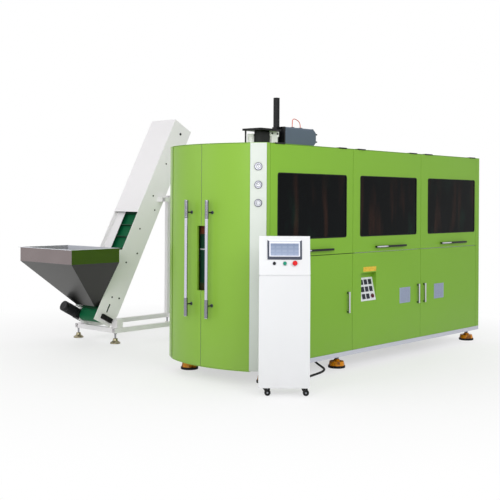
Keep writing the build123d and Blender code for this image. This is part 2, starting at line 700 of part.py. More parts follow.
def make_upper_door(index):
    """A guard door with its window frame, pane and bar handle."""
    x = door_bounds()[index]
    left, right = front_edges()[index:index + 2]
    wide = (left + WINDOW_LEFT_MARGINS[index], right - WINDOW_RIGHT_MARGINS[index])
    centre = sum(wide) / 2
    tall = (WINDOW_BOTTOM, WINDOW_TOP)

    def grown(span, by):
        return span[0] - by, span[1] + by

    pane_depth = (WINDOW_LIP, WINDOW_LIP + PANE_THICKNESS)
    door = door_pan(x, UPPER_DOOR_Z)
    door += block(grown(wide, WINDOW_FRAME), (0, WINDOW_LIP + PANE_THICKNESS), grown(tall, WINDOW_FRAME))
    door -= rounded_upright(wide, (-1, DOOR_THICKNESS), tall, WINDOW_CORNER)
    rebate = rounded_upright(
        grown(wide, PANE_LAND),
        (WINDOW_LIP, DOOR_THICKNESS),
        grown(tall, PANE_LAND),
        WINDOW_CORNER + PANE_LAND,
    )
    door -= rebate
    pane_land = PANE_LAND - PANE_CLEARANCE
    pane_corner = WINDOW_CORNER + pane_land
    pane = rounded_upright(grown(wide, pane_land), pane_depth, grown(tall, pane_land), pane_corner)
    half_bar = BAR_LENGTH / 2
    bar_y = (-BAR_STANDOFF - BAR_DEPTH, -BAR_STANDOFF)
    bar_z = (BAR_CENTRE_HEIGHT - BAR_HEIGHT / 2, BAR_CENTRE_HEIGHT + BAR_HEIGHT / 2)
    bar = block((centre - half_bar, centre + half_bar), bar_y, bar_z)
    bar = chamfer(bar.edges().filter_by(Axis.X), 3)
    posts = []
    for side in (-1, 1):
        post_x = centre + side * (half_bar - BAR_POST_INSET)
        post_z = (BAR_CENTRE_HEIGHT - BAR_POST / 2, BAR_CENTRE_HEIGHT + BAR_POST / 2)
        posts.append(block((post_x - BAR_POST / 2, post_x + BAR_POST / 2), (-BAR_STANDOFF, 0), post_z))
    save(f"upper_door_{index + 1}", door, bar, *posts)
    save(f"window_pane_{index + 1}", pane)


def grille(centre):
    """A plate with a row of slots, on the door's face."""
    wide, tall = GRILLE_SIZE
    x = (centre - wide / 2, centre + wide / 2)
    z = (GRILLE_HEIGHT - tall / 2, GRILLE_HEIGHT + tall / 2)
    plate = block(x, (-GRILLE_THICKNESS, 0), z)
    plate = chamfer(plate.faces().sort_by(Axis.Y)[0].edges(), 1)
    pitch = tall / (GRILLE_SLOTS + 1)
    margin = pitch
    for number in range(GRILLE_SLOTS):
        middle = z[0] + pitch * (number + 1)
        slot_z = (middle - GRILLE_SLOT_HEIGHT / 2, middle + GRILLE_SLOT_HEIGHT / 2)
        plate -= block((x[0] + margin, x[1] - margin), (-GRILLE_THICKNESS - 1, -1), slot_z)
    return plate


def recess_plane():
    """A plane on the slanted back of the meter recess: X across, Y up the slope, Z towards the operator."""
    rise = Vector(0, RECESS_DEPTH - SHEET, METER_PLATE_TOP - RECESS_Z[0]).normalized()
    across = Vector(1, 0, 0)
    return Plane(origin=(RECESS_X[0], SHEET, RECESS_Z[0]), x_dir=across, z_dir=across.cross(rise))


def meter_slope_length():
    """The length of the slanted plate, from the recess's lower edge to its top."""
    return math.hypot(RECESS_DEPTH - SHEET, METER_PLATE_TOP - RECESS_Z[0])


def meter_grid():
    """The centres of the three rows of three meters, along the plate's own axes."""
    across = (RECESS_X[1] - RECESS_X[0]) / 2
    up = meter_slope_length() / 2
    steps = (-METER_PITCH, 0, METER_PITCH)
    return [(across + column, up + row) for row in steps for column in steps]


def recess_shell():
    """The welded box behind the hole, with its slanted back."""
    void = [
        (-1, RECESS_Z[0]), (SHEET, RECESS_Z[0]), (RECESS_DEPTH, METER_PLATE_TOP),
        (RECESS_DEPTH, RECESS_Z[1]), (-1, RECESS_Z[1]),
    ]
    outer = [
        (SHEET, RECESS_Z[0] - SHEET * 4), (RECESS_DEPTH + SHEET, METER_PLATE_TOP - SHEET),
        (RECESS_DEPTH + SHEET, RECESS_Z[1] + SHEET), (SHEET, RECESS_Z[1] + SHEET),
    ]
    shell = prism_along_x(outer, (RECESS_X[0] - SHEET, RECESS_X[1] + SHEET))
    return shell, prism_along_x(void, RECESS_X)


def button_hole(radius, depth):
    """A short round cutter that stands through a plate."""
    return Cylinder(radius, depth)


def make_lower_door(index):
    """A lower door with its upright pull, and on the middle and right ones a vent grille."""
    x = door_bounds()[index]
    door = door_pan(x, LOWER_DOOR_Z)
    extras = []
    pivot_x, pivot_y = pivot_point(index)
    bore = rod((pivot_x, pivot_y, LOWER_DOOR_Z[0] - 1), (pivot_x, pivot_y, LOWER_DOOR_Z[1] + 1),
               PIVOT_RADIUS + PIVOT_CLEARANCE)
    pull_x = (PULL_CENTRES[index] - PULL_WIDTH / 2, PULL_CENTRES[index] + PULL_WIDTH / 2)
    pull = block(pull_x, (-PULL_STANDOFF - PULL_DEPTH, -PULL_STANDOFF), (PULL_BOTTOM, PULL_TOP))
    extras.append(chamfer(pull.edges().filter_by(Axis.Z), 2))
    for foot in (PULL_BOTTOM, PULL_TOP - PULL_WIDTH):
        extras.append(block(pull_x, (-PULL_STANDOFF, 0), (foot, foot + PULL_WIDTH)))
    if index == 1:
        shell, void = recess_shell()
        door = door + shell - void
        hole_x, hole_y = meter_grid()[2]
        place = recess_plane() * Pos(hole_x, hole_y, 0)
        door -= place * button_hole(RED_BUTTON_STEM + BUTTON_CLEARANCE, RECESS_DEPTH)
        extras.append(block(LABEL_X, (-LABEL_THICKNESS, 0), LABEL_Z))
    if index > 0:
        extras.append(grille(GRILLE_CENTRES[index - 1]))
    save(f"lower_door_{index + 1}", door - bore, *extras)


def make_meters():
    """The slanted plate with eight square meters and the red button in its lower right place."""
    plane = recess_plane()
    length = meter_slope_length()
    side_gap = PANE_CLEARANCE
    across = RECESS_X[1] - RECESS_X[0]
    plate = block((side_gap, across - side_gap), (SHEET * 2, length - SHEET), (0, METER_PLATE_THICKNESS))
    places = meter_grid()
    button_at = places[2]
    plate -= Pos(*button_at, 0) * button_hole(RED_BUTTON_STEM + BUTTON_CLEARANCE, METER_PLATE_THICKNESS * 4)
    meters = []
    top = METER_PLATE_THICKNESS + METER_THICKNESS
    for place in places:
        if place == button_at:
            continue
        x = (place[0] - METER_SIZE / 2, place[0] + METER_SIZE / 2)
        y = (place[1] - METER_SIZE / 2, place[1] + METER_SIZE / 2)
        body = block(x, y, (METER_PLATE_THICKNESS, top))
        body = chamfer(body.faces().sort_by(Axis.Z)[-1].edges(), 1.5)
        meters.append(plane * body)
    stem = rod((0, 0, -SHEET), (0, 0, top), RED_BUTTON_STEM)
    head_bottom = METER_PLATE_THICKNESS + RED_BUTTON_TRAVEL + 1
    head = rod((0, 0, head_bottom), (0, 0, head_bottom + 9), RED_BUTTON_HEAD)
    head = fillet(head.edges().sort_by(Axis.Z)[-1], 4)
    save("meter_panel", plane * plate)
    save("panel_meters", *meters)
    save("red_button", plane * Pos(*button_at, 0) * (stem + head))


# Curved end doors

def ring_sector(outer, inner, y, z):
    """A piece of a round wall about the curved end's centre, between two Y values."""
    height = z[1] - z[0]
    at = Pos(END_CENTRE_X, END_SEAM_Y, z[0])
    low = (Align.CENTER, Align.CENTER, Align.MIN)
    wall = at * Cylinder(outer, height, align=low) - at * Cylinder(inner, height, align=low)
    return wall & block((END_CENTRE_X - END_RADIUS * 2, 0), y, z)


def make_end_door(name, side):
    """One curved door with half of the viewing slot and its tube handle."""
    z = (END_DOOR_BOTTOM, PANEL_TOP - PANEL_SHEET)
    near_seam = DOOR_GAP / 2
    span = END_SEAM_Y - END_HINGE_Y
    y = (END_SEAM_Y - span, END_SEAM_Y - near_seam)
    inner_radius = END_RADIUS - DOOR_THICKNESS
    door = ring_sector(END_RADIUS, inner_radius, y, z)
    hollow_z = (z[0] + SHEET, z[1] - SHEET)
    door -= ring_sector(END_RADIUS - SHEET, inner_radius - 1, (y[0] + SHEET, y[1] - SHEET), hollow_z)
    slot_y = (END_SEAM_Y - SLOT_HALF_WIDTH, END_SEAM_Y)
    slot_wall = (slot_y[0] - SHEET, y[1])
    door += ring_sector(END_RADIUS, inner_radius, slot_wall, (SLOT_BOTTOM - SHEET, SLOT_TOP + SHEET))
    reach = (arc_x(END_SEAM_Y) - TUBE_STANDOFF, 0)
    door -= block(reach, slot_y, (SLOT_BOTTOM, SLOT_TOP))
    pivot_x, pivot_y = end_pivot(-1)
    door -= rod((pivot_x, pivot_y, z[0] - 1), (pivot_x, pivot_y, z[1] + 1), PIVOT_RADIUS + PIVOT_CLEARANCE)
    handle_y = END_SEAM_Y - TUBE_HANDLE_OFFSET
    skin_x = arc_x(handle_y)
    tube_x = skin_x - TUBE_STANDOFF + TUBE_HANDLE_RADIUS
    tube_foot = (tube_x, handle_y, TUBE_HANDLE_BOTTOM)
    tube = rod(tube_foot, (tube_x, handle_y, TUBE_HANDLE_TOP), TUBE_HANDLE_RADIUS)
    low_sleeve = (TUBE_HANDLE_BOTTOM, TUBE_HANDLE_BOTTOM + TUBE_SLEEVE_LENGTH)
    high_sleeve = (TUBE_HANDLE_TOP - TUBE_SLEEVE_LENGTH, TUBE_HANDLE_TOP)
    for low, high in (low_sleeve, high_sleeve):
        tube += rod((tube_x, handle_y, low), (tube_x, handle_y, high), TUBE_SLEEVE_RADIUS)
    stays = []
    for height in TUBE_STANDOFF_HEIGHTS:
        stay = rod((tube_x, handle_y, height), (skin_x + SHEET, handle_y, height), TUBE_STANDOFF_RADIUS)
        stays.append(stay - tube - door)
    pieces = [door, tube, *[stay.solids().sort_by(Axis.X)[0] for stay in stays]]
    if side > 0:
        pieces = [mirror_end(piece) for piece in pieces]
    save(name, *pieces)


# Inside the cabinet

def make_work_bed():
    """The thick bed plate on the mid rails, with the two fixed platens that hold the tie bars."""
    x = (PANEL_SHEET + FRAME_TUBE, BODY_LENGTH - PANEL_SHEET - FRAME_TUBE)
    rear = BODY_DEPTH - BED_FRONT
    pieces = [block((x[0] + 1, x[1] - 1), (BED_FRONT, rear), (TONGUE_BOTTOM, BED_TOP))]
    for centre in BAY_SEAMS:
        for y in ((0, FRAME_SETBACK + FRAME_TUBE + 1), (rear - FRAME_TUBE, BODY_DEPTH)):
            notch_x = (centre - FRAME_TUBE / 2 - 1, centre + FRAME_TUBE / 2 + 1)
            pieces[0] -= block(notch_x, y, (TONGUE_BOTTOM - 1, BED_TOP + 1))
    platen_y = (MOULD_Y[0] - PLATEN_MARGIN, MOULD_Y[1] + PLATEN_MARGIN)
    for side in (-1, 1):
        face = MOULD_CENTRE_X + side * PLATEN_REACH
        back = face + side * PLATEN_THICKNESS
        platen = block((min(face, back), max(face, back)), platen_y, (BED_TOP, MOULD_Z[1] + PLATEN_MARGIN))
        pieces.append(platen)
    save("work_bed", *pieces)


def make_tie_bars():
    """Four bars between the platens, which carry the mould halves."""
    reach = PLATEN_REACH
    bars = []
    for y in TIE_BAR_YS:
        for z in TIE_BAR_ZS:
            bars.append(rod((MOULD_CENTRE_X - reach, y, z), (MOULD_CENTRE_X + reach, y, z), TIE_BAR_RADIUS))
    save("tie_bars", *bars)


def cavity(y):
    """The bottle's form: a round body, a cone at the shoulder and a narrow neck to the top."""
    x = MOULD_CENTRE_X
    body = rod((x, y, CAVITY_BOTTOM), (x, y, CAVITY_SHOULDER), CAVITY_RADIUS)
    taper = CAVITY_RADIUS - CAVITY_NECK
    shoulder = Pos(x, y, CAVITY_SHOULDER) * Cone(
        CAVITY_RADIUS, CAVITY_NECK, taper, align=UPWARD
    )
    neck = rod((x, y, CAVITY_SHOULDER), (x, y, MOULD_Z[1] + 1), CAVITY_NECK)
    return body + shoulder + neck


def make_mould_half(name, side):
    """One mould half, open at rest, with half of each bottle cavity and bores for the tie bars."""
    face = MOULD_CENTRE_X
    back = face + side * MOULD_HALF
    half = block((min(face, back), max(face, back)), MOULD_Y, MOULD_Z)
    for y in CAVITY_YS:
        half -= cavity(y)
    for y in TIE_BAR_YS:
        for z in TIE_BAR_ZS:
            bore = TIE_BAR_RADIUS + TIE_BAR_CLEARANCE
            half -= rod((face - PLATEN_REACH, y, z), (face + PLATEN_REACH, y, z), bore)
    save(name, Pos(side * MOULD_OPENING, 0, 0) * half)


def make_oven_banks():
    """Two facing banks of heating lamps, each a C of sheet on legs with a row of lamp tubes."""
    pieces = []
    for number, y in enumerate(OVEN_YS):
        inward = 1 if number == 0 else -1
        back = (y - OVEN_SHEET / 2, y + OVEN_SHEET / 2)
        pieces.append(block(OVEN_X, back, OVEN_Z))
        shelf_near = y + inward * OVEN_SHEET / 2
        shelf_far = y + inward * OVEN_DEPTH
        shelf_y = (min(shelf_near, shelf_far), max(shelf_near, shelf_far))
        pieces.append(block(OVEN_X, shelf_y, (OVEN_Z[0], OVEN_Z[0] + OVEN_SHEET)))
        pieces.append(block(OVEN_X, shelf_y, (OVEN_Z[1] - OVEN_SHEET, OVEN_Z[1])))
        lamp_y = y + inward * OVEN_DEPTH / 2
        for lamp in range(LAMP_COUNT):
            z = (OVEN_Z[0] + OVEN_Z[1]) / 2 + (lamp - (LAMP_COUNT - 1) / 2) * LAMP_PITCH
            pieces.append(rod((OVEN_X[0], lamp_y, z), (OVEN_X[1], lamp_y, z), LAMP_RADIUS))
        end_y = sorted((y + inward * OVEN_SHEET / 2, lamp_y + inward * OVEN_END_MARGIN))
        for x in ((OVEN_X[0] - OVEN_SHEET, OVEN_X[0]), (OVEN_X[1], OVEN_X[1] + OVEN_SHEET)):
            pieces.append(block(x, end_y, OVEN_Z))
        for x in (OVEN_X[0] + OVEN_LEG, OVEN_X[1] - OVEN_LEG * 2):
            leg_face = y - inward * OVEN_SHEET / 2
            leg_y = sorted((leg_face, leg_face + inward * OVEN_LEG))
            pieces.append(block((x, x + OVEN_LEG), leg_y, (BED_TOP, OVEN_Z[0])))
    save("oven_banks", *pieces)


# Stretch unit

def make_stretch_unit():
    """The stretch drive on the roof: top plate, gearbox, white bracket, black column and servo motor."""
    rods = [rod((x, GUIDE_Y, BODY_TOP), (x, GUIDE_Y, TOP_PLATE_Z[0]), GUIDE_RADIUS) for x in GUIDE_XS]
    plate = block(TOP_PLATE_X, TOP_PLATE_Y, TOP_PLATE_Z)
    save("stretch_frame", *rods, chamfer(plate.edges().filter_by(Axis.Z), 6))

    box_y = (STRETCH_Y - GEARBOX_HALF_WIDTH, STRETCH_Y + GEARBOX_HALF_WIDTH)
    gearbox = block(GEARBOX_X, box_y, (GEARBOX_BOTTOM, TOP_PLATE_Z[0]))
    save("stretch_gearbox", chamfer(gearbox.edges().filter_by(Axis.X), 8))

    bracket_y = (STRETCH_Y - BRACKET_HALF_WIDTH, STRETCH_Y + BRACKET_HALF_WIDTH)
    inner_x = (BRACKET_X[0] + BRACKET_STEP_X, BRACKET_X[1] - BRACKET_STEP_X)
    bracket = block(BRACKET_X, bracket_y, (BRACKET_STEP, TOP_PLATE_Z[0]))
    bracket += block(inner_x, bracket_y, (BODY_TOP, BRACKET_STEP))
    foot = (AIR_CYLINDER_X, AIR_CYLINDER_Y, BODY_TOP)
    cylinder = rod(foot, (AIR_CYLINDER_X, AIR_CYLINDER_Y, AIR_CYLINDER_TOP), AIR_CYLINDER_RADIUS)
    save("stretch_bracket", bracket, cylinder)

    half = COLUMN_SIZE / 2
    column_x = (MOULD_CENTRE_X - half, MOULD_CENTRE_X + half)
    column = block(column_x, (STRETCH_Y - half, STRETCH_Y + half), COLUMN_Z)
    save("actuator_column", chamfer(column.edges().filter_by(Axis.Z), 3))

    span_y = (STRETCH_Y - MOTOR_WIDTH / 2, STRETCH_Y + MOTOR_WIDTH / 2)
    span_z = (MOTOR_Z - MOTOR_HEIGHT / 2, MOTOR_Z + MOTOR_HEIGHT / 2)
    neck = rod((column_x[1], STRETCH_Y, MOTOR_Z), (MOTOR_FLANGE_X[0], STRETCH_Y, MOTOR_Z), half)
    flange = block(MOTOR_FLANGE_X, span_y, span_z)
    body = block((MOTOR_FLANGE_X[1], MOTOR_END), span_y, span_z)
    body = fillet(body.edges().filter_by(Axis.X), MOTOR_CORNER)
    bevel_x = MOTOR_CAP_END - MOTOR_CAP_BEVEL[0]
    end_z = (span_z[0] + MOTOR_CAP_BEVEL[1], span_z[1] - MOTOR_CAP_BEVEL[1])
    cap = prism_along_y(
        [
            (MOTOR_END, span_z[0]), (bevel_x, span_z[0]), (MOTOR_CAP_END, end_z[0]),
            (MOTOR_CAP_END, end_z[1]), (bevel_x, span_z[1]), (MOTOR_END, span_z[1]),
        ],
        span_y,
    )
    motor = flange + neck + body + cap
    stud_x = (MOTOR_CAP_END - 1, MOTOR_CAP_END + STUD_LENGTH)
    stud_y = span_y[0] + STUD_INSET
    for side in (-1, 1):
        z = MOTOR_Z + side * STUD_HALF_PITCH
        motor += rod((stud_x[0], stud_y, z), (stud_x[1], stud_y, z), STUD_RADIUS)
    sockets = []
    for x in CONNECTOR_XS:
        half_socket = CONNECTOR_SIZE / 2
        x_span = (x - half_socket, x + half_socket)
        y_span = (STRETCH_Y - half_socket, STRETCH_Y + half_socket)
        sockets.append(block(x_span, y_span, (span_z[1], span_z[1] + CONNECTOR_HEIGHT)))
    save("servo_motor", motor, *sockets)


def make_carriage():
    """The block that runs down the column inside the cabinet, with one stretch rod for each cavity."""
    half = COLUMN_SIZE / 2
    x = (MOULD_CENTRE_X - half - CARRIAGE_X_MARGIN, MOULD_CENTRE_X + half + CARRIAGE_X_MARGIN)
    y = (STRETCH_Y - half - CARRIAGE_Y_MARGIN, STRETCH_Y + half + CARRIAGE_Y_MARGIN)
    carriage = block(x, y, CARRIAGE_Z)
    hole = half + COLUMN_CLEARANCE
    hole_x = (MOULD_CENTRE_X - hole, MOULD_CENTRE_X + hole)
    carriage -= block(hole_x, (STRETCH_Y - hole, STRETCH_Y + hole), (CARRIAGE_Z[0] - 1, CARRIAGE_Z[1] + 1))
    rods = [
        rod((MOULD_CENTRE_X, at, STRETCH_ROD_BOTTOM), (MOULD_CENTRE_X, at, CARRIAGE_Z[0]), STRETCH_ROD_RADIUS)
        for at in CAVITY_YS
    ]
    save("stretch_carriage", carriage, *rods)


# Operator console

CONSOLE_PLANE = Plane(origin=(*CONSOLE_CORNER, 0)).rotated((0, 0, CONSOLE_TURN))
HEAD_BOTTOM = CABINET_TOP + HEAD_GAP
FACE_RISE = HEAD_TOP - HEAD_BOTTOM
FACE_LENGTH = math.hypot(FACE_RISE, HEAD_SLOPE)


def console_point(x, y, z):
    """A point given in the console's own axes."""
    return CONSOLE_PLANE.from_local_coords(Vector(x, y, z))


def face_plane(x, height):
    """A plane on the head's sloped face at a height: its Z points out at the operator."""
    depth = (height - HEAD_BOTTOM) / FACE_RISE * HEAD_SLOPE
    rise = Vector(0, HEAD_SLOPE, FACE_RISE).normalized()
    across = Vector(1, 0, 0)
    return Plane(origin=(x, depth, height), x_dir=across, z_dir=across.cross(rise))


def make_console_body():
    """The hollow cabinet with its caster plates and conduit gland, and the sloped head on it."""
    width = (0, CONSOLE_WIDTH)
    depth = (0, CABINET_DEPTH)
    cabinet = block(width, depth, (CABINET_BOTTOM, CABINET_TOP))
    inner = block((SHEET, CONSOLE_WIDTH - SHEET), (SHEET, CABINET_DEPTH - SHEET),
                  (CABINET_BOTTOM + SHEET, CABINET_TOP - SHEET))
    cabinet -= inner
    kingpin_bore = KINGPIN_RADIUS + CASTER_GAP
    plates = []
    for x in CASTER_XS:
        for y in CASTER_YS:
            half = CASTER_PLATE / 2
            plate_z = (CABINET_BOTTOM - CASTER_PLATE_THICKNESS, CABINET_BOTTOM)
            plate = block((x - half, x + half), (y - half, y + half), plate_z)
            plates.append(plate - rod((x, y, plate_z[0] - 1), (x, y, plate_z[1] + 1), kingpin_bore))
    inset = HEAD_NECK_INSET
    neck = block((inset, CONSOLE_WIDTH - inset), (inset, HEAD_DEPTH - inset), (CABINET_TOP, HEAD_BOTTOM))
    gland_at = (CONDUIT_GLAND_WIDTH, CABINET_DEPTH, CONDUIT_GLAND_HEIGHT)
    gland_end = (CONDUIT_GLAND_WIDTH, CABINET_DEPTH + CONDUIT_GLAND_LENGTH, CONDUIT_GLAND_HEIGHT)
    gland = rod(gland_at, gland_end, CONDUIT_GLAND_RADIUS)
    pieces = [cabinet, neck, gland, *plates]
    save("console_cabinet", *[CONSOLE_PLANE * piece for piece in pieces])

    outline = [(0, HEAD_BOTTOM), (HEAD_SLOPE, HEAD_TOP), (HEAD_DEPTH, HEAD_TOP), (HEAD_DEPTH, HEAD_BOTTOM)]
    wall = SHEET
    slope_gap = wall * FACE_LENGTH / FACE_RISE
    low = wall * HEAD_SLOPE / FACE_RISE
    inside = [
        (slope_gap + low, HEAD_BOTTOM + wall), (HEAD_SLOPE + slope_gap - low, HEAD_TOP - wall),
        (HEAD_DEPTH - wall, HEAD_TOP - wall), (HEAD_DEPTH - wall, HEAD_BOTTOM + wall),
    ]
    head = prism_along_x(outline, width)
    head -= prism_along_x(inside, (wall, CONSOLE_WIDTH - wall))
    for x in CONTROL_XS:
        bore = Cylinder(STEM_RADIUS + BUTTON_CLEARANCE, SHEET * 6)
        head -= face_plane(x, CONTROL_HEIGHT) * bore
    save("console_head", CONSOLE_PLANE * head)


def make_controls():
    """The touch panel, the selector, the green start button and the red mushroom button."""
    wide, tall = SCREEN_SIZE
    panel = block((-wide / 2, wide / 2), (-tall / 2, tall / 2), (0, SCREEN_THICKNESS))
    panel = fillet(panel.edges().filter_by(Axis.Z), 6)
    glass_x = wide / 2 - SCREEN_BEZEL
    glass_y = tall / 2 - SCREEN_BEZEL
    glass_z = (SCREEN_THICKNESS - SCREEN_RECESS, SCREEN_THICKNESS + 1)
    panel -= block((-glass_x, glass_x), (-glass_y, glass_y), glass_z)
    save("hmi_panel", CONSOLE_PLANE * face_plane(CONSOLE_WIDTH / 2, SCREEN_CENTRE) * panel)

    stem_start = (0, 0, -SHEET * 2)
    selector = rod((0, 0, BUTTON_CLEARANCE), (0, 0, 6), SELECTOR_RADIUS)
    selector += rod(stem_start, (0, 0, 6), STEM_RADIUS)
    grip = block((-3, 3), (-SELECTOR_RADIUS + 1, SELECTOR_RADIUS - 1), (5, 16))
    selector += grip
    start_low = 5
    start = rod(stem_start, (0, 0, start_low + 5), STEM_RADIUS)
    start += rod((0, 0, start_low), (0, 0, start_low + 6), START_RADIUS)
    stop_low = 12
    stop = rod(stem_start, (0, 0, stop_low + 5), STEM_RADIUS)
    stop += rod((0, 0, stop_low - 6), (0, 0, stop_low), STOP_NECK)
    stop_head = rod((0, 0, stop_low), (0, 0, stop_low + 12), STOP_RADIUS)
    stop += fillet(stop_head.edges().sort_by(Axis.Z)[-1], 6)
    controls = {"selector_switch": selector, "start_button": start, "stop_button": stop}
    for x, (name, shape) in zip(CONTROL_XS, controls.items()):
        save(name, CONSOLE_PLANE * face_plane(x, CONTROL_HEIGHT) * shape)


def make_casters():
    """Four swivel casters: a fork with its kingpin and axle, and a wheel that turns on the axle."""
    plate_bottom = CABINET_BOTTOM - CASTER_PLATE_THICKNESS
    crown_top = plate_bottom - CASTER_GAP
    crown_bottom = crown_top - CROWN_THICKNESS
    cheek_gap = WHEEL_WIDTH / 2 + CASTER_GAP
    number = 0
    for y in CASTER_YS:
        for x in CASTER_XS:
            number += 1
            wheel_x = x + CASTER_TRAIL
            crown = rod((x, y, crown_bottom), (x, y, crown_top), CROWN_RADIUS)
            crown += rod((x, y, crown_top), (x, y, CABINET_BOTTOM - CASTER_GAP), KINGPIN_RADIUS)
            fork = [crown]
            for side in (-1, 1):
                near = y + side * cheek_gap
                far = near + side * CHEEK_THICKNESS
                cheek_y = (min(near, far), max(near, far))
                outline = [
                    (x - 14, crown_bottom), (x + 16, crown_bottom),
                    (wheel_x + 9, WHEEL_RADIUS - 4), (wheel_x + 3, WHEEL_RADIUS - 9),
                    (wheel_x - 6, WHEEL_RADIUS - 8), (wheel_x - 12, WHEEL_RADIUS),
                ]
                plane = Plane(origin=(0, cheek_y[1], 0), x_dir=(1, 0, 0), z_dir=(0, -1, 0))
                cheek = extrude(plane * Polygon(*outline, align=None), CHEEK_THICKNESS, dir=(0, -1, 0))
                fork.append(cheek)
            axle_y = cheek_gap
            axle_start = (wheel_x, y - axle_y, WHEEL_RADIUS)
            fork.append(rod(axle_start, (wheel_x, y + axle_y, WHEEL_RADIUS), AXLE_RADIUS))
            half = WHEEL_WIDTH / 2
            wheel = rod((wheel_x, y - half, WHEEL_RADIUS), (wheel_x, y + half, WHEEL_RADIUS), WHEEL_RADIUS)
            wheel = fillet(wheel.edges(), 3)
            bore = AXLE_RADIUS + AXLE_CLEARANCE
            wheel -= rod((wheel_x, y - half - 1, WHEEL_RADIUS), (wheel_x, y + half + 1, WHEEL_RADIUS), bore)
            save(f"caster_fork_{number}", *[CONSOLE_PLANE * piece for piece in fork])
            save(f"caster_wheel_{number}", CONSOLE_PLANE * wheel)


# Preform elevator

SLOPE = Plane(
    origin=(TAIL_X, 0, TAIL_Z),
    x_dir=(math.cos(math.radians(SLOPE_ANGLE)), 0, math.sin(math.radians(SLOPE_ANGLE))),
    z_dir=(0, -1, 0),
)


def slope_block(along, out, y):
    """A box in the slope axes, between two Y values."""
    return SLOPE * block(along, out, (-y[1], -y[0]))


def slope_prism(outline, y):
    """An outline in the slope axes, carried from one Y to another."""
    return SLOPE * Pos(0, 0, -y[1]) * extrude(Polygon(*outline, align=None), y[1] - y[0], dir=(0, 0, 1))


def slope_rod(along, out, y, radius):
    """A round bar across the elevator."""
    return SLOPE * Pos(along, out, -y[1]) * Cylinder(
        radius, y[1] - y[0], align=UPWARD
    )


def casing_plates():
    """The near and far side plates, the far one notched at its tail for the gearbox."""
    cut_along, cut_back = CASING_TAIL_CUT
    outline = [
        (CASING_START, CASING_OUT), (CASING_END, CASING_OUT), (CASING_END, CASING_BACK),
        (CASING_START + cut_along, CASING_BACK), (CASING_START, CASING_BACK + cut_back),
    ]
    near_y = (CASING_Y[0], CASING_Y[0] + CASING_SHEET)
    far_y = (CASING_Y[1] - CASING_SHEET, CASING_Y[1])
    near = slope_prism(outline, near_y)
    far = slope_prism(outline, far_y)
    shelf = SHAFT_RADIUS * 2
    far -= slope_block((CASING_START - 1, MOTOR_BOX / 2), (shelf, CASING_OUT + 1), far_y)
    slot_out = (TAKEUP_SLOT_OUT - TAKEUP_SLOT_WIDTH / 2, TAKEUP_SLOT_OUT + TAKEUP_SLOT_WIDTH / 2)
    near -= slope_block(TAKEUP_SLOT, slot_out, near_y)
    bore = SHAFT_RADIUS + SHAFT_CLEARANCE
    for along in (0, ROLLER_DISTANCE):
        hole = slope_rod(along, 0, (CASING_Y[0] - 1, CASING_Y[1] + 1), bore)
        near -= hole
        far -= hole
    return near, far


def make_casing():
    """The elevator's casing: two side plates, the back cover, the head plate, bearings and screws."""
    near, far = casing_plates()
    inside_y = (CASING_Y[0] + CASING_SHEET, CASING_Y[1] - CASING_SHEET)
    cover_start = CASING_START + CASING_TAIL_CUT[0]
    cover = slope_block((cover_start, COVER_END), (CASING_BACK, CASING_BACK + CASING_SHEET), inside_y)
    head = slope_block((CASING_END - CASING_SHEET, CASING_END), (CASING_BACK, CASING_OUT), inside_y)
    pieces = [near, far, cover, head]
    bore = SHAFT_RADIUS + SHAFT_CLEARANCE
    outer_y = (CASING_Y[0] - BEARING_THICKNESS, CASING_Y[0])
    far_y = (CASING_Y[1], CASING_Y[1] + BEARING_THICKNESS)
    tail = (0, outer_y, TAIL_BEARING_HALF_HEIGHT)
    for along, y, reach in (tail, (ROLLER_DISTANCE, far_y, HEAD_BEARING_HALF_HEIGHT)):
        span = (along - BEARING_HALF_LENGTH, along + BEARING_HALF_LENGTH)
        bearing = slope_block(span, (-reach, reach), y)
        pieces.append(bearing - slope_rod(along, 0, (y[0] - 1, y[1] + 1), bore))
    screw_y = (CASING_Y[0] - SCREW_HEIGHT, CASING_Y[0])
    for (start, pitch, out), count in ((SCREW_ROW, SCREW_COUNT), (SCREW_ROW_BACK, SCREW_BACK_COUNT)):
        for number in range(count):
            pieces.append(slope_rod(start + number * pitch, out, screw_y, SCREW_RADIUS))
    save("elevator_casing", *pieces)


def make_hood():
    """The hood over the upper run: a top sheet and a side sheet outside each plate."""
    along = (HOOD_START, CASING_END)
    top_out = (CASING_OUT, CASING_OUT + HOOD_SHEET)
    outer_y = (CASING_Y[0] - HOOD_SHEET, CASING_Y[1] + HOOD_SHEET)
    pieces = [slope_block(along, top_out, outer_y)]
    for y in ((outer_y[0], CASING_Y[0]), (CASING_Y[1], outer_y[1])):
        pieces.append(slope_block(along, (HOOD_SIDE, CASING_OUT), y))
    save("elevator_hood", *pieces)


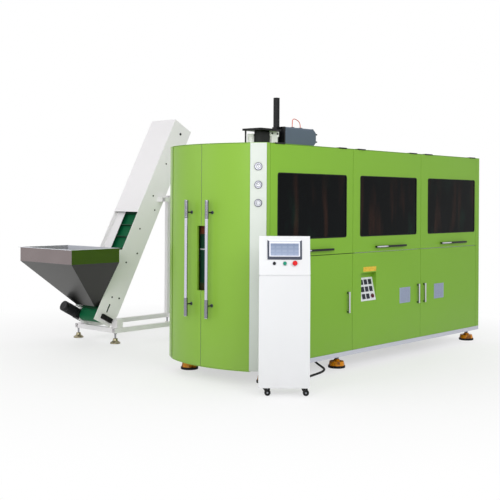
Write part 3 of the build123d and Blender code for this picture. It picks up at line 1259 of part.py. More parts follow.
def make_belt():
    """The belt loop with its cleats, and the rollers and shafts that it runs on."""
    belt_y = (CASING_Y[0] + CASING_SHEET + BELT_SIDE_GAP, CASING_Y[1] - CASING_SHEET - BELT_SIDE_GAP)
    outer = ROLLER_RADIUS + BELT_THICKNESS
    pieces = []
    for side in (-1, 1):
        low = side * ROLLER_RADIUS
        high = side * outer
        run = slope_block((0, ROLLER_DISTANCE), (min(low, high), max(low, high)), belt_y)
        pieces.append(run)
    for along, back in ((0, -1), (ROLLER_DISTANCE, 1)):
        ring = slope_rod(along, 0, belt_y, outer) - slope_rod(along, 0, belt_y, ROLLER_RADIUS)
        far = along + back * outer * 2
        keep = (min(along, far), max(along, far))
        pieces.append(ring & slope_block(keep, (-outer - 1, outer + 1), belt_y))
    cleat_y = (belt_y[0] + CLEAT_INSET, belt_y[1] - CLEAT_INSET)
    count = int(ROLLER_DISTANCE / CLEAT_PITCH)
    for number in range(count):
        along = CLEAT_PITCH * (number + 0.5)
        span = (along - CLEAT_THICKNESS / 2, along + CLEAT_THICKNESS / 2)
        pieces.append(slope_block(span, (outer, outer + CLEAT_HEIGHT), cleat_y))
        pieces.append(slope_block(span, (-outer - CLEAT_HEIGHT, -outer), cleat_y))
    save("elevator_belt", *pieces)
    drum = ROLLER_RADIUS - ROLLER_CLEARANCE
    tail_shaft = (CASING_Y[0] - BEARING_THICKNESS + 4, CASING_Y[1] + MOTOR_BOX_WIDTH / 2)
    head_shaft = (CASING_Y[0] - SCREW_HEIGHT, CASING_Y[1] + BEARING_THICKNESS - 4)
    for name, along, shaft in (("tail_roller", 0, tail_shaft), ("head_roller", ROLLER_DISTANCE, head_shaft)):
        roller = slope_rod(along, 0, belt_y, drum) + slope_rod(along, 0, shaft, SHAFT_RADIUS)
        save(name, roller)


def make_gear_motor():
    """The right angle gearbox on the tail shaft, with its motor and fan cowl pointing away from the belt."""
    half = MOTOR_BOX / 2
    y = (CASING_Y[1], CASING_Y[1] + MOTOR_BOX_WIDTH)
    box = slope_block((-half, half), (-half, half), y)
    box -= slope_rod(0, 0, (y[0] - 1, y[1] + 1), SHAFT_RADIUS + SHAFT_CLEARANCE)
    middle = (y[0] + y[1]) / 2
    axis = SLOPE * Pos(0, 0, -middle) * Rot(-90, 0, 0)
    low = (Align.CENTER, Align.CENTER, Align.MIN)
    motor = axis * Pos(0, 0, half) * Cylinder(DRIVE_RADIUS, DRIVE_LENGTH, align=low)
    cowl = axis * Pos(0, 0, half + DRIVE_LENGTH) * Cylinder(FAN_COWL_RADIUS, FAN_COWL_LENGTH, align=low)
    save("gear_motor", box, motor, cowl)


def make_elevator_base():
    """The base frame of square tube on four feet, with the rear uprights and the arms to the casing."""
    half = RAIL_TUBE / 2
    rail_z = (RAIL_BOTTOM, RAIL_BOTTOM + RAIL_TUBE)
    pieces = []
    for y in RAIL_YS:
        pieces.append(beam(RAIL_X, (y - half, y + half), rail_z))
    between = (RAIL_YS[0] + half, RAIL_YS[1] - half)
    for x in (RAIL_X[0] + half, RAIL_X[1] - half):
        pieces.append(beam((x - half, x + half), between, rail_z))
    upright_x = (RAIL_X[1] - RAIL_TUBE, RAIL_X[1])
    cross_z = (CROSS_HEIGHT - half, CROSS_HEIGHT + half)
    for y in RAIL_YS:
        pieces.append(beam(upright_x, (y - half, y + half), (rail_z[1], UPRIGHT_TOP)))
    pieces.append(beam(upright_x, between, cross_z))
    plate_outer = (CASING_Y[0] - HOOD_SHEET, CASING_Y[1] + HOOD_SHEET)
    slope = math.radians(SLOPE_ANGLE)
    arm_x = TAIL_X + (CROSS_HEIGHT - TAIL_Z) / math.tan(slope) - CASING_BACK / math.sin(slope)
    arm_reach = arm_x - RAIL_TUBE * 2
    pieces.append(beam((arm_reach, upright_x[0]), (RAIL_YS[0] - half, RAIL_YS[0] + half), cross_z))
    pieces.append(beam((arm_reach, upright_x[0]), (RAIL_YS[1] - half, RAIL_YS[1] + half), cross_z))
    spacer_x = (arm_reach, arm_reach + RAIL_TUBE)
    pieces.append(block(spacer_x, (RAIL_YS[0] + half, CASING_Y[0]), cross_z))
    pieces.append(block(spacer_x, (CASING_Y[1], RAIL_YS[1] - half), cross_z))
    tail_x = (TAIL_X + MOTOR_BOX * 0.7, TAIL_X + MOTOR_BOX * 1.4)
    bracket_z = (RAIL_BOTTOM + RAIL_TUBE, RAIL_BOTTOM + RAIL_TUBE + TAIL_BRACKET_HEIGHT)
    pieces.append(block(tail_x, (RAIL_YS[0], CASING_Y[0]), bracket_z))
    pieces.append(block(tail_x, (CASING_Y[1], RAIL_YS[1]), bracket_z))
    for x in (RAIL_X[0] + BASE_FOOT_INSET, RAIL_X[1] - BASE_FOOT_INSET):
        for y in RAIL_YS:
            foot = Pos(x, y, 0) * Cone(
                BASE_FOOT_RADIUS, BASE_STUD_RADIUS * 2, BASE_FOOT_HEIGHT, align=UPWARD
            )
            pieces.append(foot + rod((x, y, BASE_FOOT_HEIGHT), (x, y, RAIL_BOTTOM), BASE_STUD_RADIUS))
    save("elevator_base", *pieces)


def ring_points(x, y, z, inset=0.0):
    """The four corners of a level rectangle, drawn in by an inset."""
    x0, x1 = x[0] + inset, x[1] - inset
    y0, y1 = y[0] + inset, y[1] - inset
    return [(x0, y0, z), (x1, y0, z), (x1, y1, z), (x0, y1, z)]


def make_hopper():
    """The hopper: four upright skirt walls, four sloping walls to the throat, a rim lip and two brackets."""
    walls = []
    skirt_bottom = RIM_HEIGHT - SKIRT_HEIGHT
    levels = (
        (THROAT_X, THROAT_Y, THROAT_HEIGHT),
        (RIM_X, RIM_Y, skirt_bottom),
        (RIM_X, RIM_Y, RIM_HEIGHT),
    )
    for below, above in zip(levels, levels[1:]):
        outer_low = ring_points(*below)
        inner_low = ring_points(*below, inset=HOPPER_SHEET)
        outer_high = ring_points(*above)
        inner_high = ring_points(*above, inset=HOPPER_SHEET)
        for index in range(4):
            after = (index + 1) % 4
            lower = [outer_low[index], outer_low[after], inner_low[after], inner_low[index]]
            upper = [outer_high[index], outer_high[after], inner_high[after], inner_high[index]]
            walls.append(hexahedron(lower, upper))
    rim_z = (RIM_HEIGHT - HOPPER_SHEET, RIM_HEIGHT)
    lip_x = (RIM_X[0] - RIM_LIP, RIM_X[0])
    walls.append(block(lip_x, (RIM_Y[0] - RIM_LIP, RIM_Y[1] + RIM_LIP), rim_z))
    walls.append(block(RIM_X, (RIM_Y[0] - RIM_LIP, RIM_Y[0]), rim_z))
    walls.append(block(RIM_X, (RIM_Y[1], RIM_Y[1] + RIM_LIP), rim_z))
    for y in ((CASING_Y[0] - HOOD_SHEET * 2, CASING_Y[0]), (CASING_Y[1], CASING_Y[1] + HOOD_SHEET * 2)):
        walls.append(block((RIM_X[1], HOPPER_BRACKET_END), y, HOPPER_BRACKET_Z))
    save("hopper", *walls)


def make_chute():
    """The open chute that takes preforms from the elevator's head down into the cabinet's rear wall."""
    sheet = CASING_SHEET
    floor = [
        (CHUTE_TOP_Y, CHUTE_TOP_Z - sheet), (CHUTE_TOP_Y, CHUTE_TOP_Z),
        (CHUTE_END_Y, CHUTE_END_Z), (CHUTE_END_Y, CHUTE_END_Z - sheet),
    ]
    wall = [
        (CHUTE_TOP_Y, CHUTE_TOP_Z - sheet), (CHUTE_TOP_Y, CHUTE_TOP_Z + CHUTE_WALL),
        (CHUTE_END_Y, CHUTE_END_Z + CHUTE_WALL), (CHUTE_END_Y, CHUTE_END_Z - sheet),
    ]
    x0, x1 = CHUTE_X
    pieces = [prism_along_x(floor, CHUTE_X)]
    pieces.append(prism_along_x(wall, (x0 - sheet, x0)))
    pieces.append(prism_along_x(wall, (x1, x1 + sheet)))
    end_z = (CHUTE_TOP_Z - sheet, CHUTE_TOP_Z + CHUTE_WALL)
    pieces.append(block((x0 - sheet, x1 + sheet), (CHUTE_TOP_Y, CHUTE_TOP_Y + sheet), end_z))
    baffle_y = (CASING_Y[0], CHUTE_TOP_Y)
    slope = (CHUTE_TOP_Z - CHUTE_END_Z) / (CHUTE_TOP_Y - CHUTE_END_Y)
    baffle_low = CHUTE_TOP_Z + CHUTE_WALL - slope * (CHUTE_TOP_Y - CASING_Y[0])
    baffle = [
        (baffle_y[0], baffle_low), (baffle_y[1], CHUTE_TOP_Z + CHUTE_WALL),
        (baffle_y[1], BAFFLE_TOP), (baffle_y[0], BAFFLE_TOP),
    ]
    pieces.append(prism_along_x(baffle, (x1, x1 + sheet)))
    flange_y = (BODY_DEPTH, BODY_DEPTH + sheet)
    flange_floor = CHUTE_END_Z + slope * (BODY_DEPTH - CHUTE_END_Y)
    flange_z = (flange_floor, flange_floor + CHUTE_WALL)
    pieces.append(block((INLET_X[0] - CHUTE_FLANGE, x0 - sheet), flange_y, flange_z))
    pieces.append(block((x1 + sheet, INLET_X[1] + CHUTE_FLANGE), flange_y, flange_z))
    strut_y = (RAIL_YS[0] + RAIL_YS[1]) / 2
    near_top = CHUTE_TOP_Z - sheet - slope * (CHUTE_TOP_Y - strut_y)
    far_top = near_top + slope * STRUT
    cross_top = CROSS_HEIGHT + RAIL_TUBE / 2
    strut_rear = strut_y + STRUT
    strut = [(strut_y, cross_top), (strut_rear, cross_top), (strut_rear, far_top), (strut_y, near_top)]
    right = RAIL_X[1] - RAIL_TUBE
    pieces.append(prism_along_x(strut, (right, right + sheet)))
    save("preform_chute", *pieces)


# Cords

def cord_tube(name, points, diameter):
    """A round tube along straight runs joined by tangent arcs, as large as the runs allow."""
    corners = [Vector(*point) for point in points]
    radii = []
    for before, here, after in zip(corners, corners[1:], corners[2:]):
        turn = (here - before).get_angle(after - here)
        shorter = min((here - before).length, (after - here).length)
        radii.append(0.45 * shorter / math.tan(math.radians(turn) / 2))
    path = FilletPolyline(*corners, radius=radii)
    first = (corners[1] - corners[0]).normalized()
    section = Plane(origin=corners[0], z_dir=first) * Circle(diameter / 2)
    tube = sweep(section, path=path)
    print(name, "radii", [round(radius) for radius in radii])
    print(name, "length", round(path.length), "volume ratio",
          round(tube.volume / (path.length * math.pi * diameter**2 / 4), 4))
    save(name, tube)


def make_cords():
    """The conduit from the console to the machine, and the looped cable on the servo motor."""
    gland_face = CABINET_DEPTH + CONDUIT_GLAND_LENGTH
    start = console_point(CONDUIT_GLAND_WIDTH, gland_face, CONDUIT_GLAND_HEIGHT)
    leaving = console_point(CONDUIT_GLAND_WIDTH, gland_face + CONDUIT_FIRST_RUN, CONDUIT_GLAND_HEIGHT)
    end_x = sum(CONDUIT_BLOCK_X) / 2
    end_y = CONDUIT_BLOCK_Y[0]
    end_z = (CONDUIT_BLOCK_BOTTOM + SKIRT_BOTTOM) / 2
    lying = [(CONDUIT_ROUTE_START + share * CONDUIT_ROUTE_LENGTH, y, z) for share, y, z in CONDUIT_ROUTE]
    ending = [(end_x, end_y - CONDUIT_LAST_RUN, end_z), (end_x, end_y, end_z)]
    cord_tube("console_conduit", [tuple(start), tuple(leaving), *lying, *ending], CONDUIT_DIAMETER)
    socket_top = MOTOR_Z + MOTOR_HEIGHT / 2 + CONNECTOR_HEIGHT
    ends = [(x, STRETCH_Y, socket_top) for x in CONNECTOR_XS]
    risers = [(x, STRETCH_Y, socket_top + CABLE_FIRST_RUN) for x in CONNECTOR_XS]
    loop = [(x, STRETCH_Y + aside, socket_top + rise) for x, aside, rise in CABLE_ROUTE]
    cord_tube("servo_cable", [ends[0], risers[0], *loop, risers[1], ends[1]], CABLE_DIAMETER)


os.makedirs("parts", exist_ok=True)
make_plinth()
make_feet()
make_upright_frame()
make_corner_trims()
make_roof()
make_roof_hinges()
make_rear_panel()
make_right_end()
make_gauges()
for door_index in range(3):
    make_upper_door(door_index)
    make_lower_door(door_index)
make_meters()
make_end_door("end_door_near", -1)
make_end_door("end_door_far", 1)
make_work_bed()
make_tie_bars()
make_mould_half("mould_half_left", -1)
make_mould_half("mould_half_right", 1)
make_oven_banks()
make_stretch_unit()
make_carriage()
make_console_body()
make_controls()
make_casters()
make_casing()
make_hood()
make_belt()
make_gear_motor()
make_elevator_base()
make_hopper()
make_chute()
make_cords()
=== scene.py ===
"""Looks for a stretch blow moulding machine with its console and preform elevator.

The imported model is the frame. This script gives every node its finish, adds the small pieces
that the solids leave out, and sets up the floor, the lamps and the camera.
Points are written in millimetres from the cabinet's front left corner, as on the machine's drawing,
and at() turns them into the frame's metres.
"""

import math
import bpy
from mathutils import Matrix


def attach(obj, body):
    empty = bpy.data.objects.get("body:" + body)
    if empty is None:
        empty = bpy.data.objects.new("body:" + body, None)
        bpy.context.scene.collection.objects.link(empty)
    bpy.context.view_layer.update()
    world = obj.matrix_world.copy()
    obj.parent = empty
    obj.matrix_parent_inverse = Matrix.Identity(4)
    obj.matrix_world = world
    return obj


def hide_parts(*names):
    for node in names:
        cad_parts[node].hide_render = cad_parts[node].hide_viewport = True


bl_info = {
    "name": "Blow moulding machine finish",
    "version": (1, 0, 0),
    "blender": (4, 5, 0),
    "location": "3D View > Sidebar > Moulder",
    "description": "Paints and details a blow moulding machine, its console and its elevator",
    "category": "Object",
}

import bmesh
import bpy
import numpy as np
from mathutils import Matrix, Vector

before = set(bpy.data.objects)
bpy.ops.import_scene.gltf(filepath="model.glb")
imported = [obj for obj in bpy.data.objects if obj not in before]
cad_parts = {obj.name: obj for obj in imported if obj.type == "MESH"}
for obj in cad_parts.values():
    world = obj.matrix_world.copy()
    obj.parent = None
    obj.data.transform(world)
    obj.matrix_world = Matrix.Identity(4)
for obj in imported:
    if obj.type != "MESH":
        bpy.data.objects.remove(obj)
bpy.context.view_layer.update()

MM = 0.001
EAST, NORTH, UP = np.eye(3)

# The frame's origin is under the front left foot
FOOT_X, FOOT_Y = 140.0, 120.0

# Keeps the finishes apart from the materials that come with the frame
FINISH_PREFIX = "finish_"

LOUVRES_PER_METRE = 90.0

# Places taken over from the solids: windows, bars, pulls and grilles
WINDOW_CENTRES = (630.0, 1822.0, 3016.0)
WINDOW_HALF = (483.0, 278.5)
WINDOW_MIDDLE = 1499.5
WINDOW_CORNER = 14.0
BAR_BACK_Y = -0.5
# Painted highlight on each bar: a bright strip on its left third.
HIGHLIGHT_START, HIGHLIGHT_Y, HIGHLIGHT_Z, HIGHLIGHT_HALF = -256.0, -35.4, 1113.0, (1.6, 6.0)
SEAM_SPANS = ((70, 1212), (1250, 2386), (2398, 3508))
SEAM_Y, SEAM_Z, SEAM_HALF = 12.0, 1064.0, 9.0
DOOR_SKIN_Y, GRILLE_Y, PULL_Y = -0.2, -3.2, -3.5
PULL_CENTRES = (1142.0, 2336.0, 2454.0)
PULL_HALF_WIDTH, FLANK_REACH = 10.0, 0.8
PULL_FOOT_Z, PULL_HEAD_Z, PULL_BAND_Z = 517.5, 710.5, 720.0
GRILLE_Z = (530.0, 695.0)
GRILLES_APART = (2428.0, 170.0)
LABEL_Z = 870.0

# End doors, their tubes and their slot
END_MIDDLE = (934.0, 585.0)
END_RADIUS = 1114.0
TUBE_OFFSET, TUBE_REACH, TUBE_HALF_BAND = 124.0, 66.0, 20.0
TUBE_SIDES = (("near", -TUBE_OFFSET), ("far", TUBE_OFFSET))
TUBE_BOTTOM, TUBE_TOP, SLEEVE_RADIUS = 550.0, 1545.0, 17.2
DOME_FOOT, DOME_RISE = 0.4, 5.5
TUBE_BACK_X, STAY_FRONT_X = -184.0, -223.0
STAY_HEIGHTS, ROSE_RADIUS = (650.0, 1443.0), 15.0
GRIP_ENDS = (706.0, 1389.0)
SLOT_X, SLOT_HALF, SLOT_Z = -158.0, 53.0, (760.0, 1340.0)

# Sheets behind the slot: name, x, z, half sizes, thickness, finish and slot
SLOT_SHEETS = (
    # The first, dark sheet is painted shade for the inside seen through the slot.
    ("slot_shade_sheet", -106, 1385, (644, 84), 4, "screen_sheet", "black_paint"),
    ("slot_block_upper", -111, 1292, (37, 80), 5, "brown_block", "black_paint"),
    ("slot_block_lower", -111, 790, (40, 80), 5, "olive_block", "black_paint"),
    ("slot_line", -111, 1122, (5, 80), 5, "white_plastic", "frame_paint"),
)

# Corners: the green ends of plinth and trims, and the gauges on the front post
PLINTH_END_X, PLINTH_END_Z = -1.0, 124.5
POST_END = (-80.0, 113.0)
GREEN_TRIM_X, GREEN_TRIM_Y = 3.5, 900.0
GAUGE_HEIGHTS = (1527.0, 1679.0, 1832.0)
DIAL_RADIUS, DIAL_OUT, DIAL_START = 22.8, 10.3, 0.62
NEEDLE_HALF, NEEDLE_ALONG, NEEDLE_OUT = (14.0, 1.9), 5.6, 10.8
BOSS_RADIUS, BOSS_OUT = 2.8, 10.7

# Stretch unit: the motor's faces, its sockets and the bolts of its bracket
MOTOR_FLANGE_X, MOTOR_CAP_X, SOCKET_Z = 846.0, 1306.5, 2240.5
BRACKET_Y = 530.0
BRACKET_BOLTS = ((678, 2168, 8.5), (752, 2168, 8.5), (700, 2062, 7.0), (732, 2062, 7.0))

# Feet of the cabinet and of the elevator
FEET = [(x, y) for x in (140.0, 1140.0, 3550.0) for y in (120.0, 1050.0)]
BASE_FEET = [(x, y) for x in (627.0, 1973.0) for y in (2700.0, 3340.0)]
CAP_TOP_Z, BASE_FEET_Z = 79.0, 111.5
FOOT_NUTS_Z, FOOT_NUT_RADIUS = (82.0, 109.5), 20.5
BASE_NUTS_Z, BASE_NUT_RADIUS = (102.8, 24.0), 17.0

# Console
CONSOLE_CORNER = (-336.0, -221.0)
CONSOLE_TURN = math.radians(-47.78)
CONSOLE_ACROSS = np.array([math.cos(CONSOLE_TURN), math.sin(CONSOLE_TURN), 0])
CONSOLE_DEEP = np.array([-math.sin(CONSOLE_TURN), math.cos(CONSOLE_TURN), 0])
HEAD_BOTTOM, HEAD_TOP, HEAD_SLOPE = 961.0, 1264.0, 88.0
CONTROL_HEIGHT = 1050.0
COLLARS = ((121.0, 12.4, 15.0), (204.0, 14.6, 17.5), (283.0, 13.6, 17.5))
DISPLAY_CENTRE = (202.5, 1163.0)
DISPLAY_HALF = (122.0, 62.0)
DISPLAY_BULGE, DISPLAY_OUT = 0.35, 4.3
BLACK_BASE_Z, PANEL_STRIP_Z = 67.9, 1222.0
CASTERS = [(x, y) for y in (45.0, 205.0) for x in (50.0, 355.0)]
CASTER_TRAIL, WHEEL_RADIUS = 22.0, 25.0
AXLE_NUT_OUT, AXLE_NUT_RADIUS = 13.35, 7.5

# Elevator: the slope starts at the tail roller
TAIL = (577.0, 265.0)
SLOPE = math.radians(62.0)
SLOPE_ALONG = np.array([math.cos(SLOPE), 0, math.sin(SLOPE)])
SLOPE_OUT = np.array([-math.sin(SLOPE), 0, math.cos(SLOPE)])
MOTOR_Y = 3245.0
FIN_COUNT, FIN_DEPTH, COWL_RADIUS = 26, 0.09, 57.5
CASING_Y, ROLLER_END_Y = (2799.8, 3200.2), 2799.0
BELT_HALF = 54.5
GUARD_MIDDLE, GUARD_HALF, GUARD_THICKNESS = (800.0, 95.0, 3133.0), (500.0, 63.0), 3.0
BAND_Z, WALL_TOP_Z, RIM_TOP_Z = 885.0, 1030.0, 1032.5
NEAR_WALL_Y, FAR_WALL_Y = 2542.5, (3434.0, 3439.5)
RIGHT_WALL_X, RIGHT_SKIN_X, RIGHT_LIP_X = (540.5, 544.5), 542.5, 546.0

# Routes of the cords
CONDUIT_START = ((340, 262, 100), (340, 344, 100))
CONDUIT_ROUTE = (
    (218, -180, 54), (308, -110, 16), (430, -56, 10), (560, -12, 10), (700, 12, 10), (840, 46, 10),
    (950, 112, 10), (1030, 212, 10), (1105, 312, 10), (1170, 408, 22), (1208, 496, 68),
    (1218, 560, 104), (1218, 620, 104),
)
CABLE_ROUTE = (
    (1034, 585, 2250), (1034, 585, 2286), (1046, 591, 2324), (1080, 594, 2334), (1134, 588, 2314),
    (1155, 585, 2286), (1155, 585, 2250),
)

# Lamps: place, target and size in metres, power in watts and a narrower spread in degrees
LAMPS = {
    "left": ((-7.5, -2.2, 3.6), (0.4, 1.6, 1.0), 3.5, 190.0),
    "fill": ((-6.0, 6.0, 4.0), (0.6, 2.6, 1.0), 4.0, 80.0),
    "side": ((-3.6, -2.6, 3.0), (0.5, 2.9, 1.2), 1.2, 5.0, 50.0),
    "rear": ((3.5, 8.0, 5.0), (1.5, 1.5, 1.0), 4.0, 110.0),
}
KEY_PLACE, KEY_TARGET, KEY_SIZE = (-2.2, -8.0, 5.4), (1.2, 0.4, 1.0), 5.0
WORLD_LIGHT = 0.55
FLOOR_CENTRE = (1100, 1500, 0)
FLOOR_RINGS = (4.0, 9.0, 40.0)

# The camera, solved from the photograph's straight edges
CAMERA_PLACE = (-5814.9, -5090.8, 1550.0)
CAMERA_HEADING, CAMERA_ROLL = math.radians(42.22 - 90.0), math.radians(0.341)
CAMERA_LENS, CAMERA_SHIFT = 66.96, -0.0997


def at(x, y, z):
    """A drawing point in millimetres as a frame point in metres."""
    return np.array([(x - FOOT_X) * MM, (y - FOOT_Y) * MM, z * MM])


def linear(red, green, blue):
    """A colour of the screen, 0 to 255, as the linear values that a shader takes."""
    values = np.array([red, green, blue]) / 255.0
    low = values / 12.92
    high = ((values + 0.055) / 1.055) ** 2.4
    return tuple(float(v) for v in np.where(values <= 0.04045, low, high))


# Shader maths

class Value:
    """A shader socket. Arithmetic on it adds Math nodes."""

    def __init__(self, nodes, socket):
        self.nodes = nodes
        self.socket = socket

    def math(self, operation, *others):
        """One Math node with this socket as its first input."""
        return self.nodes.math(operation, self, *others)

    def __add__(self, other):
        return self.math("ADD", other)

    def __rsub__(self, other):
        return self.nodes.math("SUBTRACT", other, self)

    def __mul__(self, other):
        return self.math("MULTIPLY", other)

    def __gt__(self, other):
        return self.math("GREATER_THAN", other)

    def __lt__(self, other):
        return self.math("LESS_THAN", other)

    __radd__ = __add__
    __rmul__ = __mul__


class Nodes:
    """A node tree that is built by adding nodes."""

    def __init__(self, tree):
        self.tree = tree

    def find(self, kind):
        return next(node for node in self.tree.nodes if node.type == kind)

    def add(self, kind, settings, inputs, output=0):
        """Adds one node with its settings and inputs, and gives one of its outputs."""
        node = self.tree.nodes.new(kind)
        for key, value in settings.items():
            setattr(node, key, value)
        for key, value in inputs.items():
            self.feed(node.inputs[key], value)
        return Value(self, node.outputs[output])

    def feed(self, socket, value):
        """Links a value to a socket, or sets a number or colour on it."""
        if isinstance(value, Value):
            self.tree.links.new(value.socket, socket)
        elif socket.type == "RGBA":
            socket.default_value = (*tuple(value)[:3], 1.0)
        else:
            socket.default_value = value

    def math(self, operation, *values):
        return self.add("ShaderNodeMath", {"operation": operation}, dict(enumerate(values)))

    def seen(self):
        """1 where the camera, gloss or glass looks, and 0 for the light that is shed."""
        camera = self.add("ShaderNodeLightPath", {}, {}, "Is Camera Ray")
        rays = camera.socket.node.outputs
        gloss, glass = Value(self, rays["Is Glossy Ray"]), Value(self, rays["Is Transmission Ray"])
        return camera.math("MAXIMUM", gloss).math("MAXIMUM", glass)


class Paint(Nodes):
    """A material with one Principled shader. Settings are constants of its sockets."""

    def __init__(self, name, **settings):
        self.material = bpy.data.materials.new(FINISH_PREFIX + name)
        self.material.use_nodes = True
        super().__init__(self.material.node_tree)
        self.shader = self.find("BSDF_PRINCIPLED")
        for key, value in settings.items():
            self.put(key.replace("_", " "), value)

    def put(self, name, value):
        """Sets or links one socket of the Principled shader."""
        self.feed(self.shader.inputs[name], value)

    def here(self):
        """Object coordinates in metres."""
        return self.add("ShaderNodeTexCoord", {}, {}, "Object")

    def split(self, vector):
        """The three parts of a vector."""
        node = self.add("ShaderNodeSeparateXYZ", {}, {0: vector}).socket.node
        return [Value(self, output) for output in node.outputs]

    def axis(self, name):
        """One of the object coordinates, in metres."""
        return self.split(self.here())["XYZ".index(name)]

    def on_map(self):
        """Across and up on the piece's own UV map."""
        return self.split(self.add("ShaderNodeUVMap", {"uv_map": "UVMap"}, {}))[:2]

    def noise(self, scale, detail, stretch=(1, 1, 1)):
        """Noise on object coordinates, finer along an axis whose stretch is larger."""
        where = self.add("ShaderNodeMapping", {}, {"Vector": self.here(), "Scale": stretch})
        inputs = {"Vector": where, "Scale": scale, "Detail": detail}
        return self.add("ShaderNodeTexNoise", {}, inputs, "Fac")

    def mix(self, factor, first, second):
        """Colour mixed from first, where the factor is 0, to second."""
        inputs = {0: factor, 6: first, 7: second}
        return self.add("ShaderNodeMix", {"data_type": "RGBA"}, inputs, 2)

    def clouded(self, factor, colour, spread):
        """The colour, darker by the spread where the factor is 0 and lighter where it is 1."""
        return self.mix(factor, shade(colour, 1 - spread), shade(colour, 1 + spread))

    def between(self, value, low, high):
        """0 below low, 1 above high and a straight ramp between."""
        inputs = {"Value": value, "From Min": low, "From Max": high}
        return self.add("ShaderNodeMapRange", {"clamp": True}, inputs)

    def bump(self, height, depth, strength):
        """Relief of a given depth in metres."""
        inputs = {"Height": height, "Distance": depth, "Strength": strength}
        self.put("Normal", self.add("ShaderNodeBump", {}, inputs))


def shade(colour, factor):
    return tuple(min(1.0, channel * factor) for channel in colour)


def sheet_paint(name, colour, roughness, spread=0.035, specular=0.22):
    """Sprayed paint on sheet: soft clouds of tone, a trace of dust near the floor, orange peel."""
    paint = Paint(name, Specular_IOR_Level=specular)
    tone = paint.clouded(paint.noise(1.3, 3.0), colour, spread)
    dust = (1.0 - paint.between(paint.axis("Z"), 0.10, 0.55)) * paint.noise(9.0, 4.0) * 0.12
    paint.put("Base Color", paint.mix(dust, tone, linear(150, 145, 132)))
    paint.put("Roughness", paint.noise(5.0, 3.0) * 0.10 + (roughness - 0.05))
    paint.bump(paint.noise(420.0, 1.0), 0.00012, 0.35)


def metal(name, colour, roughness, stretch=(1, 1, 1), grain=220.0, spread=0.10):
    """Bare metal with fine lines along the axis that stretch leaves short."""
    paint = Paint(name, Metallic=1.0)
    lines = paint.noise(grain, 2.0, stretch)
    tone = lines * 0.5 + paint.noise(3.0, 3.0) * 0.5
    paint.put("Base Color", paint.clouded(tone, colour, spread))
    paint.put("Roughness", lines * 0.12 + (roughness - 0.06))
    paint.bump(lines, 0.00005, 0.4)


def moulded(name, colour, roughness, grain=900.0, depth=0.00008, spread=0.06, specular=0.5):
    """Plastic or rubber with a fine moulded grain."""
    paint = Paint(name, Specular_IOR_Level=specular)
    paint.put("Base Color", paint.clouded(paint.noise(14.0, 3.0), colour, spread))
    paint.put("Roughness", paint.noise(40.0, 2.0) * 0.12 + (roughness - 0.06))
    paint.bump(paint.noise(grain, 1.0), depth, 0.5)


def foot_enamel(palette):
    """Orange enamel with dark rubbed streaks."""
    paint = Paint("orange_coat", Specular_IOR_Level=0.25)
    streaks = paint.between(paint.noise(26.0, 3.0, (1, 1, 0.5)), 0.50, 0.62)
    paint.put("Base Color", paint.mix(streaks * 0.8, palette.orange, linear(84, 44, 10)))
    paint.put("Roughness", streaks * 0.2 + 0.30)
    paint.bump(paint.noise(300.0, 2.0), 0.0001, 0.4)


def worn_yellow():
    """The bare plate's yellow, with faint orange wear."""
    paint = Paint("yellow_plate", Roughness=0.42, Specular_IOR_Level=0.2)
    wear = paint.between(paint.noise(60.0, 3.0, (0.5, 1, 2.6)), 0.48, 0.66)
    paint.put("Base Color", paint.mix(wear * 0.7, linear(226, 190, 66), linear(196, 132, 52)))


def grille_steel():
    """The grilles' bluish grey sheet, with upright louvre lines of painted light and shade: lighter
    for the slats, darker for the slots.
    """
    paint = Paint("grille_steel", Roughness=0.5, Specular_IOR_Level=0.2)
    # Painted light and shade: the lighter half of each line stands for a lit slat, the darker half
    # for a slot in shade.
    lines = (paint.axis("X") * (2 * math.pi * LOUVRES_PER_METRE)).math("SINE") * 0.5 + 0.5
    paint.put("Base Color", paint.mix(lines, linear(128, 138, 166), linear(176, 184, 206)))


def smoked_pane(palette):
    """A dark clear sheet, with faint upright streaks for the machinery behind it."""
    paint = Paint("smoked_pane", Specular_IOR_Level=0.04, Alpha=0.97)
    brown = paint.between(paint.noise(1.0, 3.0, (7, 7, 1.1)), 0.50, 0.72)
    green = paint.between(paint.noise(1.0, 3.0, (4, 4, 1.6)), 0.55, 0.80)
    tint = paint.mix(brown * 0.5, palette.pane, linear(78, 48, 36))
    tint = paint.mix(green * 0.6, tint, linear(22, 54, 42))
    upper = paint.between(paint.axis("Z"), 1.35, 1.74)
    paint.put("Base Color", paint.mix(upper * 0.6, tint, shade(palette.pane, 0.6)))
    paint.put("Roughness", paint.noise(6.0, 2.0) * 0.03 + 0.06)


def hopper_steel(name, colour, roughness):
    """Stainless sheet of one tone, with rolling lines and dull patches."""
    paint = Paint(name, Metallic=1.0)
    lines = paint.noise(90.0, 2.0, (1, 1, 14))
    paint.put("Base Color", paint.clouded(paint.noise(4.0, 4.0) * 0.6 + lines * 0.4, colour, 0.16))
    paint.put("Roughness", lines * 0.08 + (roughness - 0.04))
    paint.bump(lines, 0.00004, 0.4)


def belt_rubber(palette):
    """The belt's cover: a fine woven grain and rubbed patches."""
    paint = Paint("belt_rubber", Specular_IOR_Level=0.15)
    worn = paint.noise(7.0, 4.0)
    paint.put("Base Color", paint.mix(worn, shade(palette.belt, 0.8), shade(palette.belt, 1.25)))
    paint.put("Roughness", worn * 0.2 + 0.42)
    paint.bump(paint.noise(300.0, 1.0), 0.0002, 0.5)


def screen_picture(palette):
    """The display: a pale frame and header round a blue gradient with 5 by 4 faint tiles."""
    paint = Paint("screen_picture", Roughness=0.18, Specular_IOR_Level=0.15)
    across, up = paint.on_map()
    inside = (across > 0.04) * (across < 0.96) * (up > 0.06) * (up < 0.86)
    column = (across * 5.0).math("FRACT")
    row = (up * 4.0).math("FRACT")
    tile = (column > 0.14) * (column < 0.86) * (row > 0.2) * (row < 0.8)
    blue = paint.mix(up, palette.screen_low, palette.screen_high)
    blue = paint.mix(tile * 0.07, blue, linear(225, 232, 245))
    paint.put("Base Color", paint.mix(inside, linear(222, 224, 234), blue))


